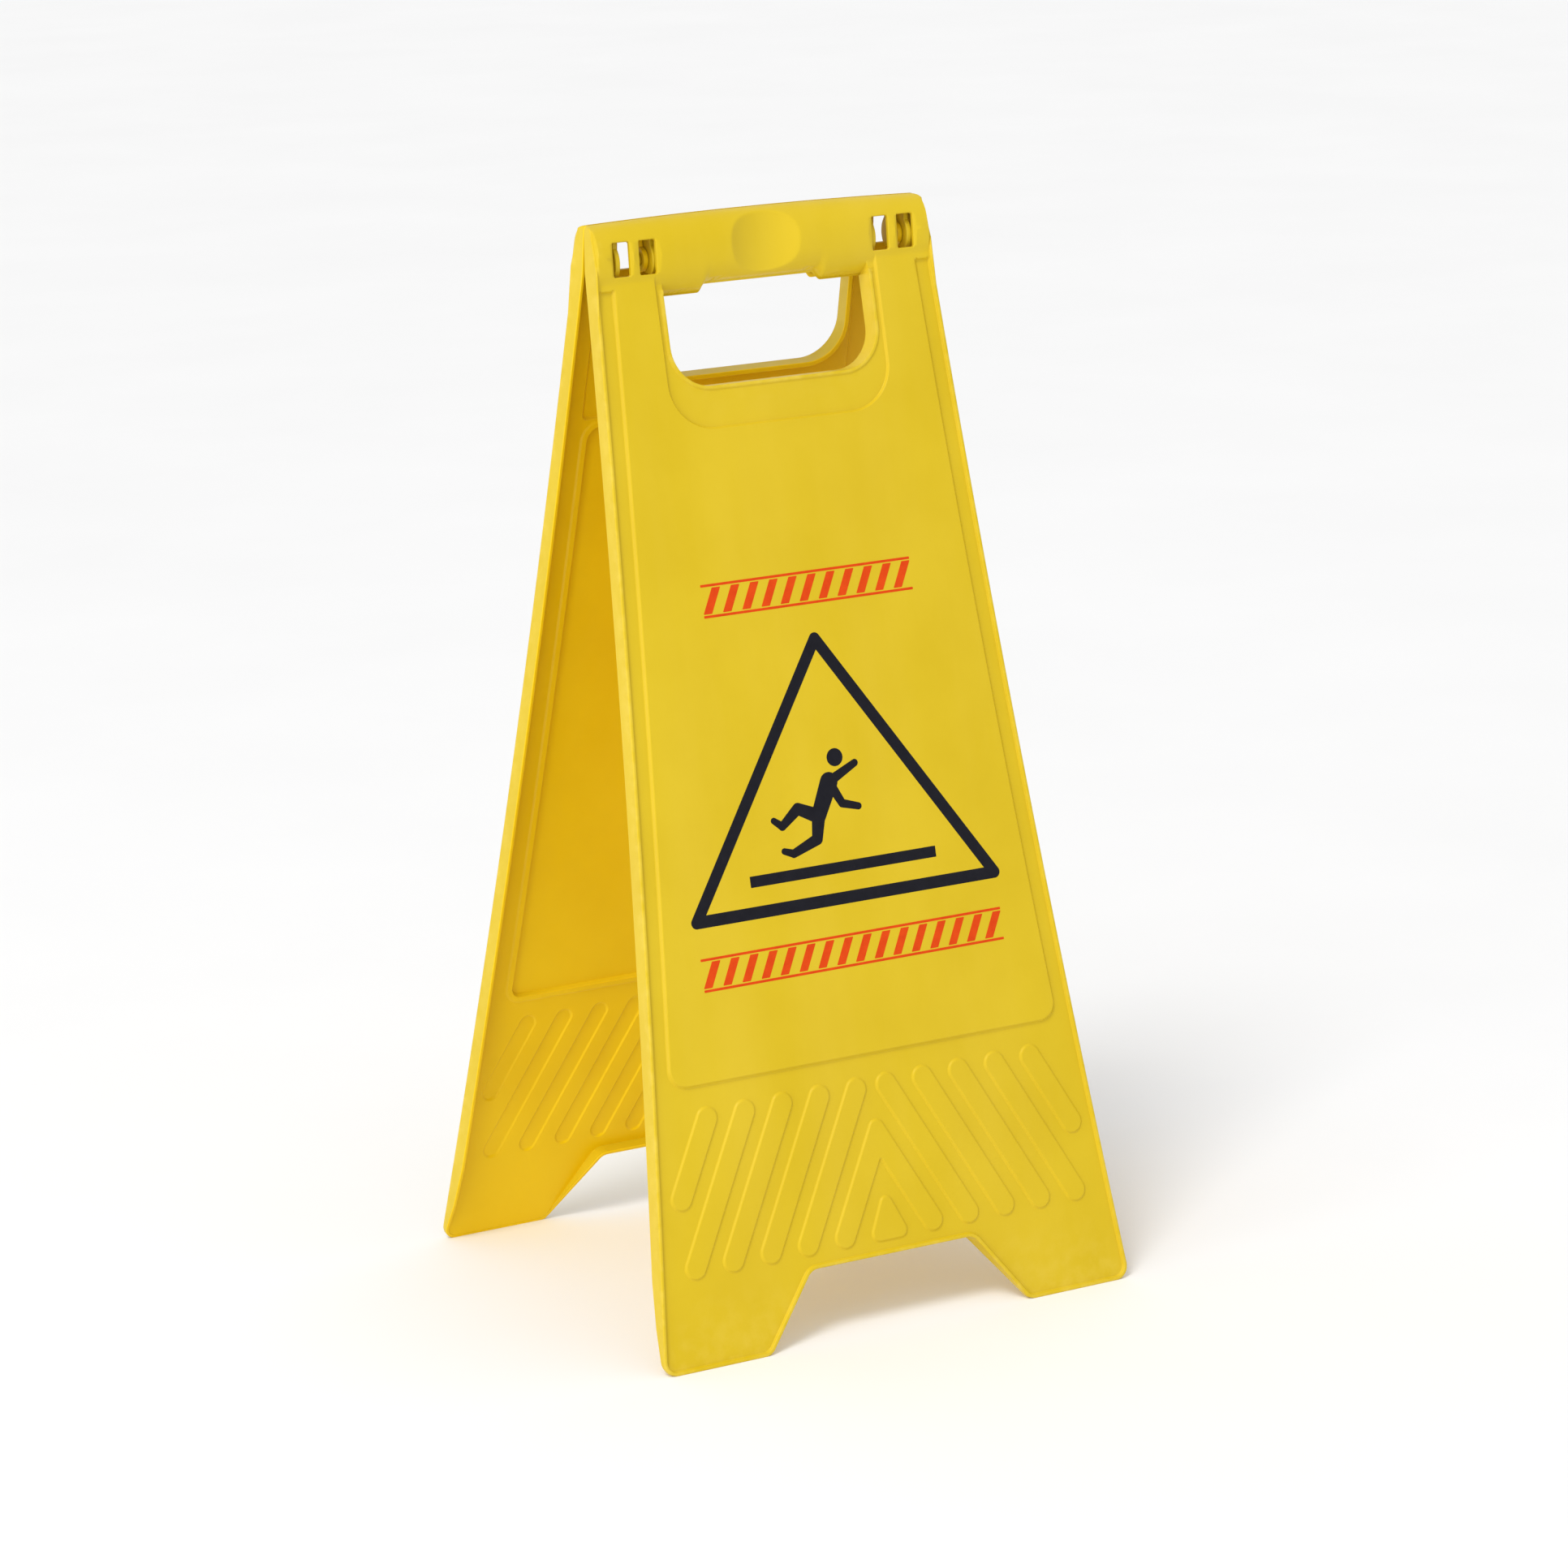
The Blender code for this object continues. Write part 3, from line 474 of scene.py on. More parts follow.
class Leaf:
    """Outlines of one leaf, and the heights of its skins."""

    def __init__(self):
        self.outline = leaf_outline()
        self.border = border_outline()
        self.panel = panel_outline()
        self.slot = slot_outline(0.0)
        self.slot_back = slot_outline(HANDLE_WALL)
        self.band = band_outline()
        self.windows = window_outlines()
        self.ribs = rib_outlines()
        self.recess = recess_outline()
        self.small = small_recesses()

    def field(self, points):
        """1 on the sunken border and lower field, 0 on the bead and the panel."""
        within = ramp(signed_distance(points, self.border), BEAD_SLOPE)
        clear = ramp(-signed_distance(points, self.panel), PANEL_SLOPE)
        lower = ramp(points[:, 1] - SHOULDER_DROP, SHOULDER_SLOPE)
        return within * clear * lower

    def scoop(self, x, down):
        """Floor of the thumb scoop: a round trough that leans."""
        near = np.clip(x, -THUMB_HALF_WIDTH, THUMB_HALF_WIDTH)
        return THUMB_FLOOR - THUMB_TILT * down + THUMB_RADIUS - np.sqrt(THUMB_RADIUS ** 2 - near ** 2)

    def handle(self, points, shrink):
        """The handle's skin, with the thumb scoop pressed into it."""
        x, down = points.T
        barrel = handle_out(x, down, shrink)
        pressed = smooth_min(barrel, self.scoop(x, down) - shrink, SCOOP_JOIN)
        return np.where(np.abs(x) < THUMB_HALF_WIDTH, pressed, barrel)

    def outer(self, points):
        """How far out the outer skin lies."""
        x, down = points.T
        sunk = np.maximum(self.field(points), ramp(signed_distance(points, self.band), BAND_SLOPE))
        face = PANEL_FACE - STEP_HEIGHT * sunk
        for rib in self.ribs:
            face += RIB_HEIGHT * ramp(signed_distance(points, rib), RIB_ROUND)
        to_slot = -signed_distance(points, self.slot)
        face += SLOT_BEAD_HEIGHT * ramp(SLOT_BEAD_WIDTH - to_slot, SLOT_BEAD_SLOPE)
        face = np.where(down < TRAY_TOP, -1.0, face)
        handle = self.handle(points, 0.0)
        either = smooth_max(face, handle, HANDLE_JOIN)
        beside_slot = np.clip((np.abs(x) - SLOT_HALF_WIDTH + SLOT_ROUND) / SLOT_ROUND, 0.0, 1.0)
        with_face = np.where(down > HANDLE_END, 1.0, beside_slot)
        out = handle + with_face * (either - handle)
        out -= edge_drop(signed_distance(points, self.outline), EDGE_ROUND)
        out -= np.where(down > HANDLE_END, edge_drop(to_slot, SLOT_ROUND), 0.0)
        for window in self.windows:
            out -= edge_drop(-signed_distance(points, window), WINDOW_ROUND)
        return np.maximum(out, self.rim(points) + 0.0001)

    def inner(self, points):
        """How far out the inner skin lies, a wall's thickness under the outer one."""
        x, down = points.T
        to_recess = signed_distance(points, self.recess)
        hollow = ramp(to_recess - RECESS_SLOPE, RECESS_SLOPE)
        for small in self.small:
            inside = signed_distance(points, small) - RECESS_SLOPE
            hollow = np.maximum(hollow, ramp(inside, RECESS_SLOPE))
        ridge = ramp(to_recess + RIDGE_WIDTH, RIDGE_SLOPE) * (1 - hollow)
        face = FIELD_FACE - SKIN + STEP_HEIGHT * hollow - RIDGE_HEIGHT * ridge
        for rib in self.ribs:
            face += RIB_HEIGHT * ramp(signed_distance(points, rib) - BACK_RIB_MARGIN, RIB_ROUND)
        handle = self.handle(points, HANDLE_WALL)
        beside_slot = np.abs(x) > SLOT_HALF_WIDTH
        with_face = (down > HANDLE_END) | (beside_slot & (down > TRAY_TOP))
        out = np.where(with_face, smooth_max(face, handle, HANDLE_JOIN), handle)
        return np.maximum(out, self.rim(points) + 0.0002)

    def rim(self, points):
        """Inner edge of the rim: stop faces at the top, folding plane, foot taper."""
        down = points[:, 1]
        stop = (STOP_GAP - down * LEAN) / RISE
        share = (down - LEAF_LENGTH + FOOT_TAPER) / FOOT_TAPER
        taper = FOLD_GAP + (FOOT_PAD_INNER - FOLD_GAP) * np.clip(share, 0.0, 1.0)
        return np.maximum(np.maximum(stop, FOLD_GAP), taper)


def on_leaf(points, out):
    """3-D points of the upright leaf from (x, down) and the distance out, cut off at the floor."""
    down = np.minimum(points[:, 1], floor_drop(out))
    return [(float(x), -float(depth), -float(drop)) for x, drop, depth in zip(points[:, 0], down, out)]


def as_array(outline):
    return np.array([tuple(point) for point in outline])


def grid(xs, drops):
    return np.array([(x, down) for x in xs for down in drops])


def handle_grid(xs, turns, shrink):
    """Sample points that follow the handle's oval section."""
    return np.array([(x, float(section_point(x, turn, shrink)[0])) for x in xs for turn in turns])


class Skin:
    """Triangulated (x, down) sheet with an edge, holes, and lines that it follows."""

    def __init__(self, edge, holes, loops, chains, extra):
        flat = []
        segments = []
        bounds = []
        for line in [edge] + holes + loops + chains:
            first = len(flat)
            flat += [Vector(point) for point in line]
            count = len(line)
            segments += [(first + index, first + index + 1) for index in range(count - 1)]
            if len(bounds) < 1 + len(holes) + len(loops):
                segments.append((first + count - 1, first))
            bounds.append(range(first, first + count))
        flat += [Vector(point) for point in extra]
        made = delaunay_2d_cdt(flat, segments, [], 0, 1e-7, True)
        self.points = as_array(made[0])
        place = {}
        for index, sources in enumerate(made[3]):
            for source in sources:
                place[source] = index
        self.loops = [[place[index] for index in line] for line in bounds[:1 + len(holes)]]
        triangles = np.array([tuple(face) for face in made[2]])
        middles = self.points[triangles].mean(axis=1)
        inside = signed_distance(middles, edge) > 0
        for hole in holes:
            inside &= signed_distance(middles, hole) < 0
        self.triangles = triangles[inside]


def offsets(outline, distances):
    return [inset(outline, distance) for distance in distances]


def handle_stations():
    """Places along the handle that get sample points: closer where its shape changes."""
    half = [np.linspace(0.0, THUMB_HALF_WIDTH, 19), ramp_stations(), np.linspace(0.0430, 0.1030, 18),
            [RELIEF_HALF_WIDTH - 0.0005, 0.0300, SLOT_HALF_WIDTH - 0.0009, SLOT_HALF_WIDTH - 0.0004,
             SLOT_HALF_WIDTH, SLOT_HALF_WIDTH + 0.0006]]
    right = np.concatenate(half)
    return np.unique(np.round(np.concatenate([-right, right]), 5))


def scoop_edge(leaf):
    """Where the thumb scoop meets the barrel, as a closed line around the scoop."""
    points = []
    for step in range(72):
        turn = 2 * math.pi * step / 72
        ray = Vector((math.cos(turn), math.sin(turn)))
        low, high = 0.0, THUMB_HALF_WIDTH
        for _ in range(24):
            middle = (low + high) / 2
            spot = np.array([tuple(ray * middle + Vector((0.0, SCOOP_MIDDLE)))])
            barrel = handle_out(spot[:, 0], spot[:, 1], 0.0)[0]
            inside = leaf.scoop(spot[:, 0], spot[:, 1])[0] < barrel
            low, high = (middle, high) if inside else (low, middle)
        points.append(ray * low + Vector((0.0, SCOOP_MIDDLE)))
    return points


def clear_of(points, leaf, edge_gap, slot_gap, window_gap):
    """Keep the points of the leaf that stay clear of its edge and its holes."""
    keep = signed_distance(points, leaf.outline) > edge_gap
    keep &= signed_distance(points, leaf.slot) < -slot_gap
    for window in leaf.windows:
        keep &= signed_distance(points, window) < -window_gap
    return points[keep]


def outer_skin(leaf):
    steps = np.array([-1, -0.6, -0.2, 0.2, 0.6, 1])
    loops = offsets(leaf.outline, [EDGE_ROUND * share for share in (0.12, 0.35, 0.65, 1.0)])
    for rib in leaf.ribs:
        loops += offsets(rib, RIB_ROUND * steps)
    for window in leaf.windows:
        loops += offsets(window, [-WINDOW_ROUND * share for share in (0.15, 0.5, 1.0)])
    loops += offsets(scoop_edge(leaf), (-0.0009, -0.0004, 0.0, 0.0004, 0.0009))
    chains = []
    for line, slope in ((leaf.border, BEAD_SLOPE), (leaf.panel, PANEL_SLOPE), (leaf.band, BAND_SLOPE)):
        chains += [below(chain, BARREL_FOOT - 0.0008) for chain in offsets(line, slope * steps)]
    around_slot = (0.0001, 0.0003, 0.0008, 0.0013, 0.0017, 0.0021, 0.0025)
    chains += [below(line, HANDLE_END) for line in offsets(leaf.slot, [-gap for gap in around_slot])]

    turns = np.radians(np.concatenate([np.linspace(-73.5, -25, 22), np.linspace(-22, 86, 30)]))
    barrel = handle_grid(handle_stations(), turns, 0.0)
    barrel = clear_of(barrel, leaf, EDGE_ROUND * 1.3, 0.0002, WINDOW_ROUND * 1.3)
    border = np.concatenate([np.linspace(-0.1030, -0.0920, 9), np.linspace(0.0920, 0.1030, 9)])
    shoulder = grid(border, SHOULDER_DROP + SHOULDER_SLOPE * steps)
    sides = np.array([-0.0650, -0.0645, -0.0643, -0.0641, 0.0641, 0.0643, 0.0645, 0.0650])
    corner = clear_of(grid(sides, np.linspace(0.0105, 0.0210, 28)), leaf, 0.0, 0.00015, 0.0005)
    extra = np.concatenate([barrel, shoulder, corner])
    return Skin(leaf.outline, [leaf.slot] + leaf.windows, loops, chains, extra)


def inner_skin(leaf):
    edge = inset(leaf.outline, RIM_WALL)
    loops = offsets(leaf.recess, (-0.0042, -0.0036, -0.0030, -0.0024, -0.0003, 0.0, 0.0004, 0.0008, 0.0014))
    for small in leaf.small:
        loops += offsets(small, (0.0, 0.0004, 0.0008, 0.0014))
    for rib in leaf.ribs:
        loops += offsets(rib, (0.0004, 0.0009, 0.0014, 0.0020))
    turns = np.radians(np.linspace(-70, 84, 34))
    hollow = handle_grid(handle_stations()[::2], turns, HANDLE_WALL)
    hollow = clear_of(hollow, leaf, RIM_WALL + 0.0008, HANDLE_WALL + 0.0005, 0.0006)
    return Skin(edge, [leaf.slot_back] + leaf.windows, loops, [], hollow)


def bridge(built, near, far):
    """Quads between two rings of vertices that run the same way."""
    count = len(near)
    for index in range(count):
        after = (index + 1) % count
        ring = [near[index], near[after], far[after], far[index]]
        if len(set(ring)) == 4:
            built.faces.new(ring)


def add_skin(built, skin, out):
    verts = [built.verts.new(point) for point in on_leaf(skin.points, out)]
    for triangle in skin.triangles:
        built.faces.new([verts[index] for index in triangle])
    return [[verts[index] for index in loop] for loop in skin.loops]


def add_ring(built, outline, out):
    return [built.verts.new(point) for point in on_leaf(as_array(outline), out)]


def wall(built, leaf, outline, back, inward, outer_loop, inner_loop, draft=0.0):
    """Rim or slot wall: in from the outer skin, across its rounded edge and back out."""
    round_off = SLOT_ROUND
    rings = []
    for ring, lift in ((inset(outline, draft), round_off),
                       (inset(outline, draft + inward * round_off), 0.0),
                       (inset(back, draft / 2 - inward * round_off), 0.0),
                       (inset(back, draft / 2), round_off)):
        rings.append(add_ring(built, ring, leaf.rim(as_array(ring)) + lift))
    chain = [outer_loop] + rings + [inner_loop]
    for near, far in zip(chain, chain[1:]):
        bridge(built, near, far)


def circle(radius, steps):
    turns = [2 * math.pi * step / steps for step in range(steps)]
    return [Vector((math.cos(turn), math.sin(turn))) * radius for turn in turns]


def arc(radius, start, end):
    """Arc about the hinge axis in (out, height), between two angles in degrees."""
    turns = [math.radians(start + (end - start) * step / 18) for step in range(19)]
    return [Vector((math.cos(turn), math.sin(turn))) * radius for turn in turns]


def hinge_plate(centre, hole):
    """Plate that hangs from the handle's roof, round about the hinge axis."""
    edge = arc(PLATE_RADIUS, 100, 270) + arc(PLATE_FRONT_RADIUS, -45, 45)
    edge += [Vector(point) for point in PLATE_ROOF]
    holes = [circle(HOLE_RADIUS, ROUND_STEPS)] if hole else []
    small_edge = inset(edge, PLATE_CHAMFER)
    wide_holes = [circle(HOLE_RADIUS + PLATE_CHAMFER, ROUND_STEPS) for _ in holes]
    cap = Skin(small_edge, wide_holes, [], [], [])
    built = bmesh.new()
    lines = [edge] + holes
    rings = [[] for _ in lines]
    for side in (-1, 1):
        face_x = centre + side * PLATE_THICKNESS / 2
        verts = [built.verts.new((face_x, -out, height)) for out, height in cap.points]
        for triangle in cap.triangles:
            built.faces.new([verts[index] for index in triangle])
        for place, (line, loop) in enumerate(zip(lines, cap.loops)):
            near = [verts[index] for index in loop]
            far = [built.verts.new((face_x - side * PLATE_CHAMFER, -point.x, point.y)) for point in line]
            bridge(built, near, far)
            rings[place].append(far)
    for pair in rings:
        bridge(built, pair[0], pair[1])
    bmesh.ops.recalc_face_normals(built, faces=built.faces)
    bmesh.ops.rotate(built, verts=built.verts, cent=(0, 0, 0), matrix=Matrix.Rotation(HALF_ANGLE, 3, "X"))
    return built


def snap_pin(centre):
    """Turned pin that points away from the middle and ends in a lip."""
    tip = centre - PLATE_THICKNESS / 2 - PIN_LENGTH
    stations = [(centre, PIN_RADIUS), (tip + 0.0022, PIN_RADIUS), (tip + 0.0020, LIP_RADIUS - 0.0003),
                (tip + 0.0018, LIP_RADIUS), (tip + 0.0010, LIP_RADIUS), (tip + 0.0002, PIN_RADIUS - 0.0003),
                (tip, PIN_RADIUS - 0.0006)]
    built = bmesh.new()
    rings = []
    for x, radius in stations:
        rings.append([built.verts.new((x, point.x, point.y)) for point in circle(radius, ROUND_STEPS)])
    for near, far in zip(rings, rings[1:]):
        bridge(built, near, far)
    built.faces.new(rings[0])
    built.faces.new(rings[-1])
    bmesh.ops.recalc_face_normals(built, faces=built.faces)
    return built


def leaf_mesh():
    """One moulded leaf, upright about its hinge axis."""
    leaf = Leaf()
    outer = outer_skin(leaf)
    inner = inner_skin(leaf)
    built = bmesh.new()
    outer_loops = add_skin(built, outer, leaf.outer(outer.points))
    inner_loops = add_skin(built, inner, leaf.inner(inner.points))
    wall(built, leaf, leaf.outline, inset(leaf.outline, RIM_WALL), 1, outer_loops[0], inner_loops[0])
    wall(built, leaf, leaf.slot, leaf.slot_back, -1, outer_loops[1], inner_loops[1], SLOT_DRAFT)
    for outer_loop, inner_loop in zip(outer_loops[2:], inner_loops[2:]):
        bridge(built, outer_loop, inner_loop)
    bmesh.ops.recalc_face_normals(built, faces=built.faces)
    mesh = bpy.data.meshes.new("leaf")
    built.to_mesh(mesh)
    built.free()
    for centre in PIN_PLATES:
        append(mesh, hinge_plate(centre, hole=False))
        append(mesh, snap_pin(centre))
    for centre in HOLE_PLATES:
        append(mesh, hinge_plate(centre, hole=True))
    mark_edges(mesh, leaf)
    mesh.shade_smooth()
    mesh.set_sharp_from_angle(angle=math.radians(38))
    return mesh


def mark_edges(mesh, leaf):
    """Vertex value that is 1 on the rim, the slot's bead and the crown, where hands and floors rub."""
    places = np.empty(len(mesh.vertices) * 3)
    mesh.vertices.foreach_get("co", places)
    x, out, down = places.reshape(-1, 3).T * np.array([[1], [-1], [-1]])
    points = np.stack([x, down], axis=1)
    on_outside = np.clip((out - FIELD_FACE + 0.0020) / 0.0015, 0.0, 1.0)
    near_rim = np.clip(1 - np.abs(signed_distance(points, leaf.outline) - 0.0005) / 0.0022, 0.0, 1.0)
    near_slot = np.clip(1 - np.abs(signed_distance(points, leaf.slot) + 0.0008) / 0.0020, 0.0, 1.0)
    feet = np.clip((down - LEAF_LENGTH + 0.006) / 0.005, 0.0, 0.5)
    edge = np.maximum(np.maximum(near_rim, near_slot) * on_outside, feet)
    mesh.attributes.new("edge", "FLOAT", "POINT").data.foreach_set("value", edge)


def append(mesh, built):
    """Add a built shape to a mesh as one more shell."""
    shape = bpy.data.meshes.new("shape")
    built.to_mesh(shape)
    built.free()
    joined = bmesh.new()
    joined.from_mesh(mesh)
    joined.from_mesh(shape)
    joined.to_mesh(mesh)
    joined.free()
    bpy.data.meshes.remove(shape)


def leaf_place(turned):
    """Leans an upright leaf and puts it on the hinge axis; turned for the rear one."""
    spin = Matrix.Rotation(math.pi if turned else 0.0, 4, "Z")
    return Matrix.Translation((0, 0, HINGE_HEIGHT)) @ spin @ Matrix.Rotation(-HALF_ANGLE, 4, "X")


# ---- prints ----

def tapered_bar(start, end, start_radius, end_radius):
    """Limb of the figure: a bar with round ends that gets thinner towards its end."""
    start = Vector(start)
    end = Vector(end)
    along = (end - start).normalized()
    lean = math.asin((start_radius - end_radius) / (end - start).length)
    points = []
    for centre, radius, first, last in ((start, start_radius, math.pi / 2 - lean, 3 * math.pi / 2 + lean),
                                        (end, end_radius, -math.pi / 2 + lean, math.pi / 2 - lean)):
        for step in range(17):
            turn = first + (last - first) * step / 16
            points.append(centre + Matrix.Rotation(turn, 2) @ along * radius)
    return points


def figure_outlines():
    """A plain figure that slips backwards: head, trunk, arms, legs and shoes."""
    head = (0.0030, 0.2838)
    shoulder = (-0.0026, 0.2968)
    hip = (-0.0117, 0.3146)
    elbow = (0.0041, 0.3096)
    front_knee = (-0.0241, 0.3087)
    rear_knee = (-0.0142, 0.3270)
    front_ankle = (-0.0349, 0.3170)
    rear_ankle = (-0.0299, 0.3328)
    limbs = [
        (shoulder, hip, 0.0055, 0.0046),
        (shoulder, (0.0150, 0.2885), 0.0030, 0.0021),   # raised arm
        (shoulder, elbow, 0.0030, 0.0024),
        (elbow, (0.0140, 0.3125), 0.0024, 0.0020),
        (hip, front_knee, 0.0042, 0.0033),
        (front_knee, front_ankle, 0.0033, 0.0024),
        (hip, rear_knee, 0.0042, 0.0033),
        (rear_knee, rear_ankle, 0.0033, 0.0024),
        (front_ankle, (-0.0398, 0.3132), 0.0023, 0.0018),
        (rear_ankle, (-0.0356, 0.3307), 0.0023, 0.0018),
    ]
    outlines = [tapered_bar(*limb) for limb in limbs]
    outlines.append([Vector(head) + point for point in circle(HEAD_RADIUS, 48)])
    return outlines


def triangle_outlines():
    """Outer edge of the stroke, with round corners, and its sharp inner edge."""
    half = TRIANGLE_STROKE / 2
    middle_line = [Vector((0.0, TRIANGLE_TOP)), Vector((TRIANGLE_HALF_WIDTH, TRIANGLE_BOTTOM)),
                   Vector((-TRIANGLE_HALF_WIDTH, TRIANGLE_BOTTOM))]
    outer = fillet([(point.x, point.y, half) for point in inset(middle_line, -half)], steps=24)
    return outer, inset(middle_line, half)


def rectangle(half, top, bottom, radius):
    return fillet(mirrored([(half, top, radius), (half, bottom, radius)]))


def stripe_outlines(middle, half, count):
    """Leaning stripes between two thin rules, as wide as a line of lettering."""
    pitch = 2 * half / count
    width = pitch * STRIPE_SHARE
    rows = middle - STRIPE_HEIGHT / 2, middle + STRIPE_HEIGHT / 2
    top, bottom = rows[0] + RULE_WIDTH, rows[1] - RULE_WIDTH
    outlines = [rectangle(half, row - RULE_WIDTH / 2, row + RULE_WIDTH / 2, 0.0003) for row in rows]
    for index in range(count):
        left = -half + pitch * index + (pitch - width) / 2
        lean = STRIPE_LEAN / 2
        outlines.append(fillet([(left + lean, top, 0.0003), (left + width + lean, top, 0.0003),
                                (left + width - lean, bottom, 0.0003), (left - lean, bottom, 0.0003)]))
    return outlines


def print_mesh(name, outlines, holes=()):
    """Thin layer of ink over the outlines, which may overlap, less the holes."""
    lines = list(outlines) + list(holes)
    flat = []
    segments = []
    for line in lines:
        first = len(flat)
        flat += [Vector(point) for point in line]
        segments += [(first + index, first + (index + 1) % len(line)) for index in range(len(line))]
    made = delaunay_2d_cdt(flat, segments, [], 0, 1e-7, True)
    points = as_array(made[0])
    triangles = np.array([tuple(face) for face in made[2]])
    middles = points[triangles].mean(axis=1)
    inked = np.zeros(len(triangles), dtype=bool)
    for outline in outlines:
        inked |= signed_distance(middles, outline) > 0
    for hole in holes:
        inked &= signed_distance(middles, hole) < 0
    built = bmesh.new()
    verts = [built.verts.new((x, -INK_BOTTOM, -down)) for x, down in points]
    for triangle in triangles[inked]:
        built.faces.new([verts[index] for index in triangle])
    bmesh.ops.delete(built, geom=[vert for vert in built.verts if not vert.link_faces], context="VERTS")
    layer = bmesh.ops.extrude_face_region(built, geom=list(built.faces), use_keep_orig=True)
    lifted = [part for part in layer["geom"] if isinstance(part, bmesh.types.BMVert)]
    bmesh.ops.translate(built, verts=lifted, vec=(0, INK_BOTTOM - INK_TOP, 0))
    bmesh.ops.recalc_face_normals(built, faces=built.faces)
    mesh = bpy.data.meshes.new(name)
    built.to_mesh(mesh)
    built.free()
    return mesh


def print_meshes():
    """Mesh and ink of each print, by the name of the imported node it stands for."""
    outer, inner = triangle_outlines()
    half = FLOOR_LINE_WIDTH / 2
    floor_line = rectangle(FLOOR_LINE_HALF, FLOOR_LINE_DROP - half, FLOOR_LINE_DROP + half, 0.0003)
    return {
        "warning_triangle": (print_mesh("triangle", [outer], [inner]), "black_print"),
        "slipping_figure": (print_mesh("figure", figure_outlines()), "black_print"),
        "floor_line": (print_mesh("floor_line", [floor_line]), "black_print"),
        "upper_stripes": (print_mesh("upper_stripes", stripe_outlines(*UPPER_STRIPES)), "red_print"),
        "lower_stripes": (print_mesh("lower_stripes", stripe_outlines(*LOWER_STRIPES)), "red_print"),
    }


# ---- materials ----

class Look:
    """A node material with small helpers for noise, mixing and bump."""

    def __init__(self, name):
        self.material = bpy.data.materials.new(name)
        self.material.use_nodes = True
        self.tree = self.material.node_tree
        self.shader = self.tree.nodes["Principled BSDF"]

    def node(self, kind, **inputs):
        made = self.tree.nodes.new(kind)
        for name, value in inputs.items():
            self.feed(made.inputs[name.replace("_", " ")], value)
        return made

    def feed(self, socket, value):
        if isinstance(value, bpy.types.NodeSocket):
            self.tree.links.new(value, socket)
        else:
            socket.default_value = value

    def place(self, stretch=(1.0, 1.0, 1.0)):
        """Object coordinates in metres, stretched along the axes."""
        coordinates = self.node("ShaderNodeTexCoord").outputs["Object"]
        return self.node("ShaderNodeMapping", Vector=coordinates, Scale=stretch).outputs["Vector"]

    def noise(self, scale, detail=3.0, stretch=(1.0, 1.0, 1.0), roughness=0.55):
        made = self.node("ShaderNodeTexNoise", Vector=self.place(stretch), Scale=scale, Detail=detail,
                         Roughness=roughness)
        return made.outputs["Fac"]

    def spread(self, value, low, high, to_low, to_high):
        """Map a range of a value to another range, held at its ends."""
        made = self.node("ShaderNodeMapRange", Value=value)
        for name, number in (("From Min", low), ("From Max", high), ("To Min", to_low), ("To Max", to_high)):
            made.inputs[name].default_value = number
        return made.outputs["Result"]

    def blend(self, share, first, second):
        made = self.tree.nodes.new("ShaderNodeMix")
        made.data_type = "RGBA"
        self.feed(made.inputs["Factor"], share)
        for socket, value in ((made.inputs[6], first), (made.inputs[7], second)):
            self.feed(socket, value)
        return made.outputs[2]

    def multiply(self, first, second):
        made = self.tree.nodes.new("ShaderNodeMath")
        made.operation = "MULTIPLY"
        self.feed(made.inputs[0], first)
        self.feed(made.inputs[1], second)
        return made.outputs[0]

    def towards_back(self):
        """1 where the leaf's surface faces the other leaf, 0 on its outer side."""
        normal = self.node("ShaderNodeTexCoord").outputs["Normal"]
        parts = self.node("ShaderNodeSeparateXYZ", Vector=normal)
        return self.spread(parts.outputs["Y"], 0.2, 0.6, 0.0, 1.0)

    def bump(self, height, distance, strength=1.0, below=None):
        made = self.node("ShaderNodeBump", Height=height, Distance=distance, Strength=strength)
        if below:
            self.feed(made.inputs["Normal"], below)
        return made.outputs["Normal"]


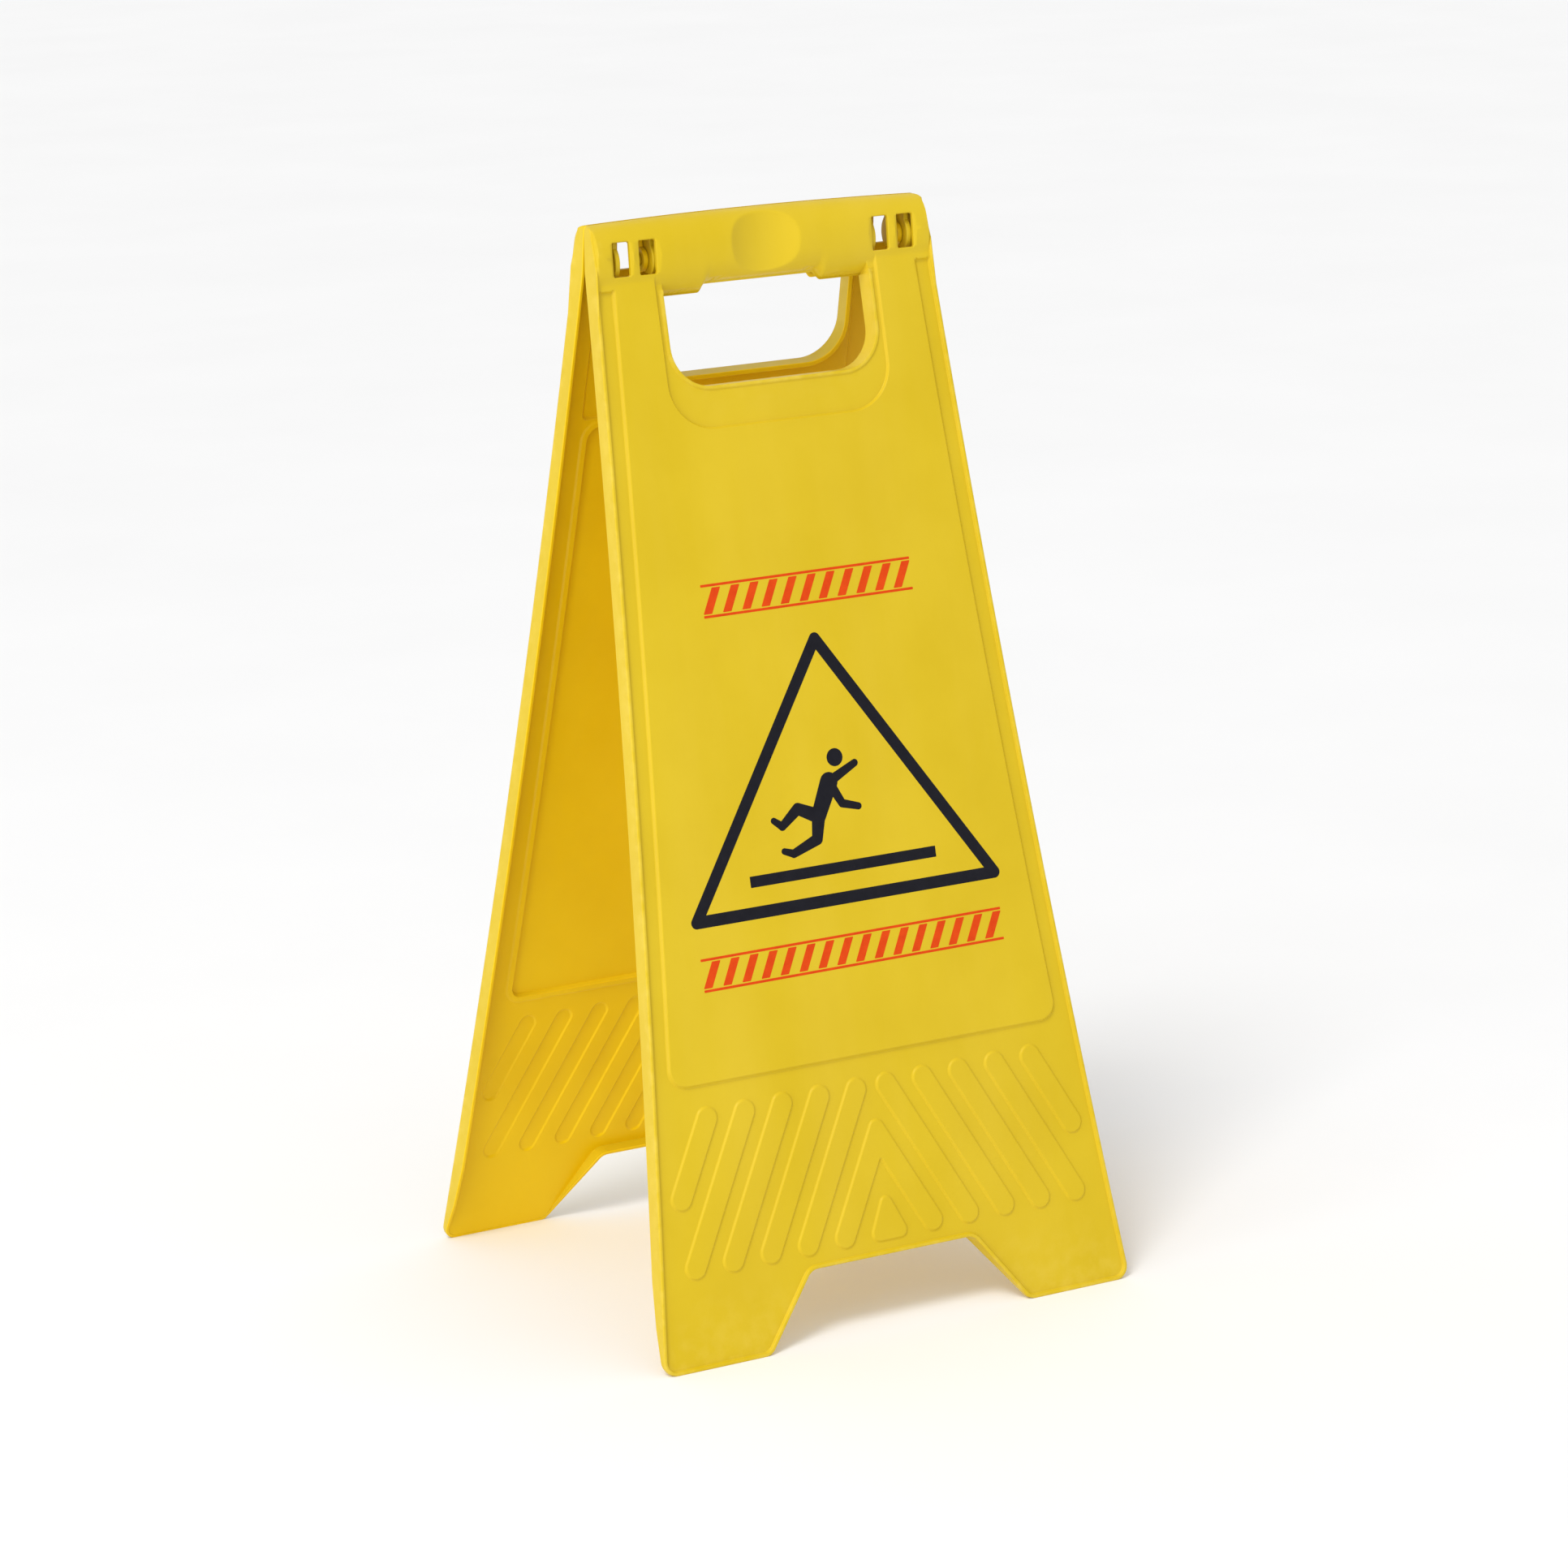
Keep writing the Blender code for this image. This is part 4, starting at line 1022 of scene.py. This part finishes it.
def yellow_plastic():
    """Injection-moulded polypropylene: faint flow marks, fine grain, pale rubbed edges.

    The inner faces are painted lighter and warmer: painted light that stands in for the light that comes
    through the thin wall.
    """
    look = Look("yellow_plastic")
    clouds = look.spread(look.noise(14.0, 4.0), 0.35, 0.65, 0.0, 1.0)
    colour = look.blend(clouds, (0.645, 0.452, 0.006, 1), (0.680, 0.484, 0.010, 1))
    flow = look.spread(look.noise(22.0, 5.0, (1.0, 1.0, 0.16)), 0.40, 0.72, 0.0, 0.35)
    colour = look.blend(flow, colour, (0.730, 0.525, 0.036, 1))
    speck = look.spread(look.noise(900.0, 2.0), 0.66, 0.80, 0.0, 0.35)
    colour = look.blend(speck, colour, (0.62, 0.40, 0.012, 1))
    worn = look.node("ShaderNodeAttribute")
    worn.attribute_name = "edge"
    patches = look.spread(look.noise(120.0, 4.0), 0.42, 0.68, 0.0, 1.0)
    rubbed = look.multiply(worn.outputs["Fac"], patches)
    colour = look.blend(look.multiply(rubbed, 0.35), colour, (0.86, 0.66, 0.12, 1))
    # painted light: faces towards the other leaf get a lighter, warmer copy of the yellow, in place of light
    # through the wall
    inner_painted_light = look.blend(clouds, (0.820, 0.545, 0.001, 1), (0.860, 0.585, 0.003, 1))
    colour = look.blend(look.towards_back(), colour, inner_painted_light)
    look.feed(look.shader.inputs["Base Color"], colour)
    gloss = look.spread(look.noise(60.0, 5.0, (1.0, 1.0, 0.3)), 0.30, 0.70, 0.36, 0.46)
    scuffs = look.spread(look.noise(300.0, 3.0, (1.0, 1.0, 0.05)), 0.62, 0.75, 0.0, 0.12)
    total = look.node("ShaderNodeMath")
    look.feed(total.inputs[0], gloss)
    look.feed(total.inputs[1], look.multiply(scuffs, patches))
    look.feed(look.shader.inputs["Roughness"], total.outputs[0])
    waves = look.bump(look.noise(45.0, 2.0), 0.00012)
    grain = look.bump(look.noise(2600.0, 2.0), 0.000010, below=waves)
    look.feed(look.shader.inputs["Normal"], grain)
    look.shader.inputs["IOR"].default_value = 1.49
    look.shader.inputs["Specular IOR Level"].default_value = 0.26
    return look.material


def ink(name, dark, light, roughness):
    """Screen-printed ink: slightly uneven cover and a fine orange-peel surface."""
    look = Look(name)
    cover = look.spread(look.noise(160.0, 5.0), 0.35, 0.70, 0.0, 1.0)
    colour = look.blend(cover, dark, light)
    pinholes = look.spread(look.noise(1500.0, 2.0), 0.70, 0.78, 0.0, 0.5)
    colour = look.blend(pinholes, colour, tuple(value * 1.6 for value in light[:3]) + (1,))
    look.feed(look.shader.inputs["Base Color"], colour)
    look.feed(look.shader.inputs["Roughness"], look.spread(look.noise(90.0, 4.0), 0.3, 0.7, roughness - 0.05,
                                                           roughness + 0.06))
    look.feed(look.shader.inputs["Normal"], look.bump(look.noise(1800.0, 2.0), 0.000012))
    look.shader.inputs["Specular IOR Level"].default_value = 0.12
    return look.material


def floor_paint():
    """Pale matt floor with a faint change of tone."""
    look = Look("floor")
    tone = look.spread(look.noise(3.0, 4.0), 0.3, 0.7, 0.0, 1.0)
    colour = look.blend(tone, (0.90, 0.90, 0.90, 1), (0.92, 0.92, 0.92, 1))
    look.feed(look.shader.inputs["Base Color"], colour)
    look.shader.inputs["Roughness"].default_value = 0.9
    return look.material


# ---- the sign ----

def put(name, mesh, material, side, node):
    """Add a piece of one leaf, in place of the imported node."""
    made = bpy.data.objects.new(name, mesh)
    bpy.context.scene.collection.objects.link(made)
    made.matrix_world = leaf_place(side == "rear")
    mesh.materials.clear()
    mesh.materials.append(material)
    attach(made, side)
    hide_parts(node)
    return made


def build_sign():
    shell = leaf_mesh()
    prints = print_meshes()
    plastic = yellow_plastic()
    inks = {
        "black_print": ink("black_ink", (0.0080, 0.0078, 0.0120, 1), (0.0110, 0.0108, 0.0160, 1), 0.42),
        "red_print": ink("red_ink", (0.66, 0.052, 0.003, 1), (0.74, 0.068, 0.004, 1), 0.42),
    }
    for side in ("front", "rear"):
        made = put(side + "_leaf_shell", shell.copy(), plastic, side, side + "_leaf")
        weighted = made.modifiers.new("flat faces stay flat", "WEIGHTED_NORMAL")
        weighted.keep_sharp = True
        weighted.weight = 80
        for name, (mesh, slot) in prints.items():
            node = side + "_" + name
            put(node + "_print", mesh.copy(), inks[slot], side, node)


# ---- floor, light and camera ----

FLOOR_HALF = 20.0

SKY_STRENGTH = 0.73
SUN_STRENGTH = 1.20
SUN_SOFTNESS = 18
SUN_DIRECTION = (-0.55, -0.35, 0.90)     # from the sign towards the light
SOFTBOXES = (                            # name, size, power in watts, place, aim
    ("softbox", 0.9, 4.0, (-1.10, -1.00, 1.75), (0.0, 0.0, HINGE_HEIGHT)),
    ("side_fill", 1.2, 10.0, (-2.00, -0.75, 0.60), (0.0, 0.0, 0.3)),
)

CAMERA_PLACE = Vector((-1.3684, -2.4912, 0.9913))
CAMERA_YAW = 0.5056
CAMERA_PITCH = 0.2447
CAMERA_ROLL = -0.0259
CAMERA_LENS = 119.17


def studio():
    """Pale floor, even sky, soft sun and two soft boxes."""
    floor_mesh = bpy.data.meshes.new("floor")
    corners = [(-FLOOR_HALF, -FLOOR_HALF, 0), (FLOOR_HALF, -FLOOR_HALF, 0),
               (FLOOR_HALF, FLOOR_HALF, 0), (-FLOOR_HALF, FLOOR_HALF, 0)]
    floor_mesh.from_pydata(corners, [], [(0, 1, 2, 3)])
    floor = bpy.data.objects.new("floor", floor_mesh)
    bpy.context.scene.collection.objects.link(floor)
    floor_mesh.materials.append(floor_paint())
    world = bpy.data.worlds.new("studio")
    world.use_nodes = True
    world.node_tree.nodes["Background"].inputs["Color"].default_value = (1, 1, 1, 1)
    world.node_tree.nodes["Background"].inputs["Strength"].default_value = SKY_STRENGTH
    bpy.context.scene.world = world
    key = bpy.data.lights.new("key", "SUN")
    key.angle = math.radians(SUN_SOFTNESS)
    key.energy = SUN_STRENGTH
    holder = bpy.data.objects.new("key", key)
    holder.rotation_euler = (-Vector(SUN_DIRECTION)).to_track_quat("-Z", "Y").to_euler()
    bpy.context.scene.collection.objects.link(holder)
    for name, size, power, place, target in SOFTBOXES:
        box = bpy.data.lights.new(name, "AREA")
        box.size = size
        box.energy = power
        hanger = bpy.data.objects.new(name, box)
        hanger.location = place
        aim = Vector(target) - hanger.location
        hanger.rotation_euler = aim.to_track_quat("-Z", "Y").to_euler()
        bpy.context.scene.collection.objects.link(hanger)


def camera():
    """The view of the photo: place, turns and lens."""
    data = bpy.data.cameras.new("camera")
    data.lens = CAMERA_LENS
    data.sensor_width = 36
    made = bpy.data.objects.new("camera", data)
    look = Matrix.Rotation(-CAMERA_YAW, 4, "Z") @ Matrix.Rotation(math.pi / 2 - CAMERA_PITCH, 4, "X")
    made.matrix_world = Matrix.Translation(CAMERA_PLACE) @ look @ Matrix.Rotation(CAMERA_ROLL, 4, "Z")
    bpy.context.scene.collection.objects.link(made)
    bpy.context.scene.camera = made


build_sign()
studio()
camera()
bpy.context.scene.view_settings.view_transform = "Standard"
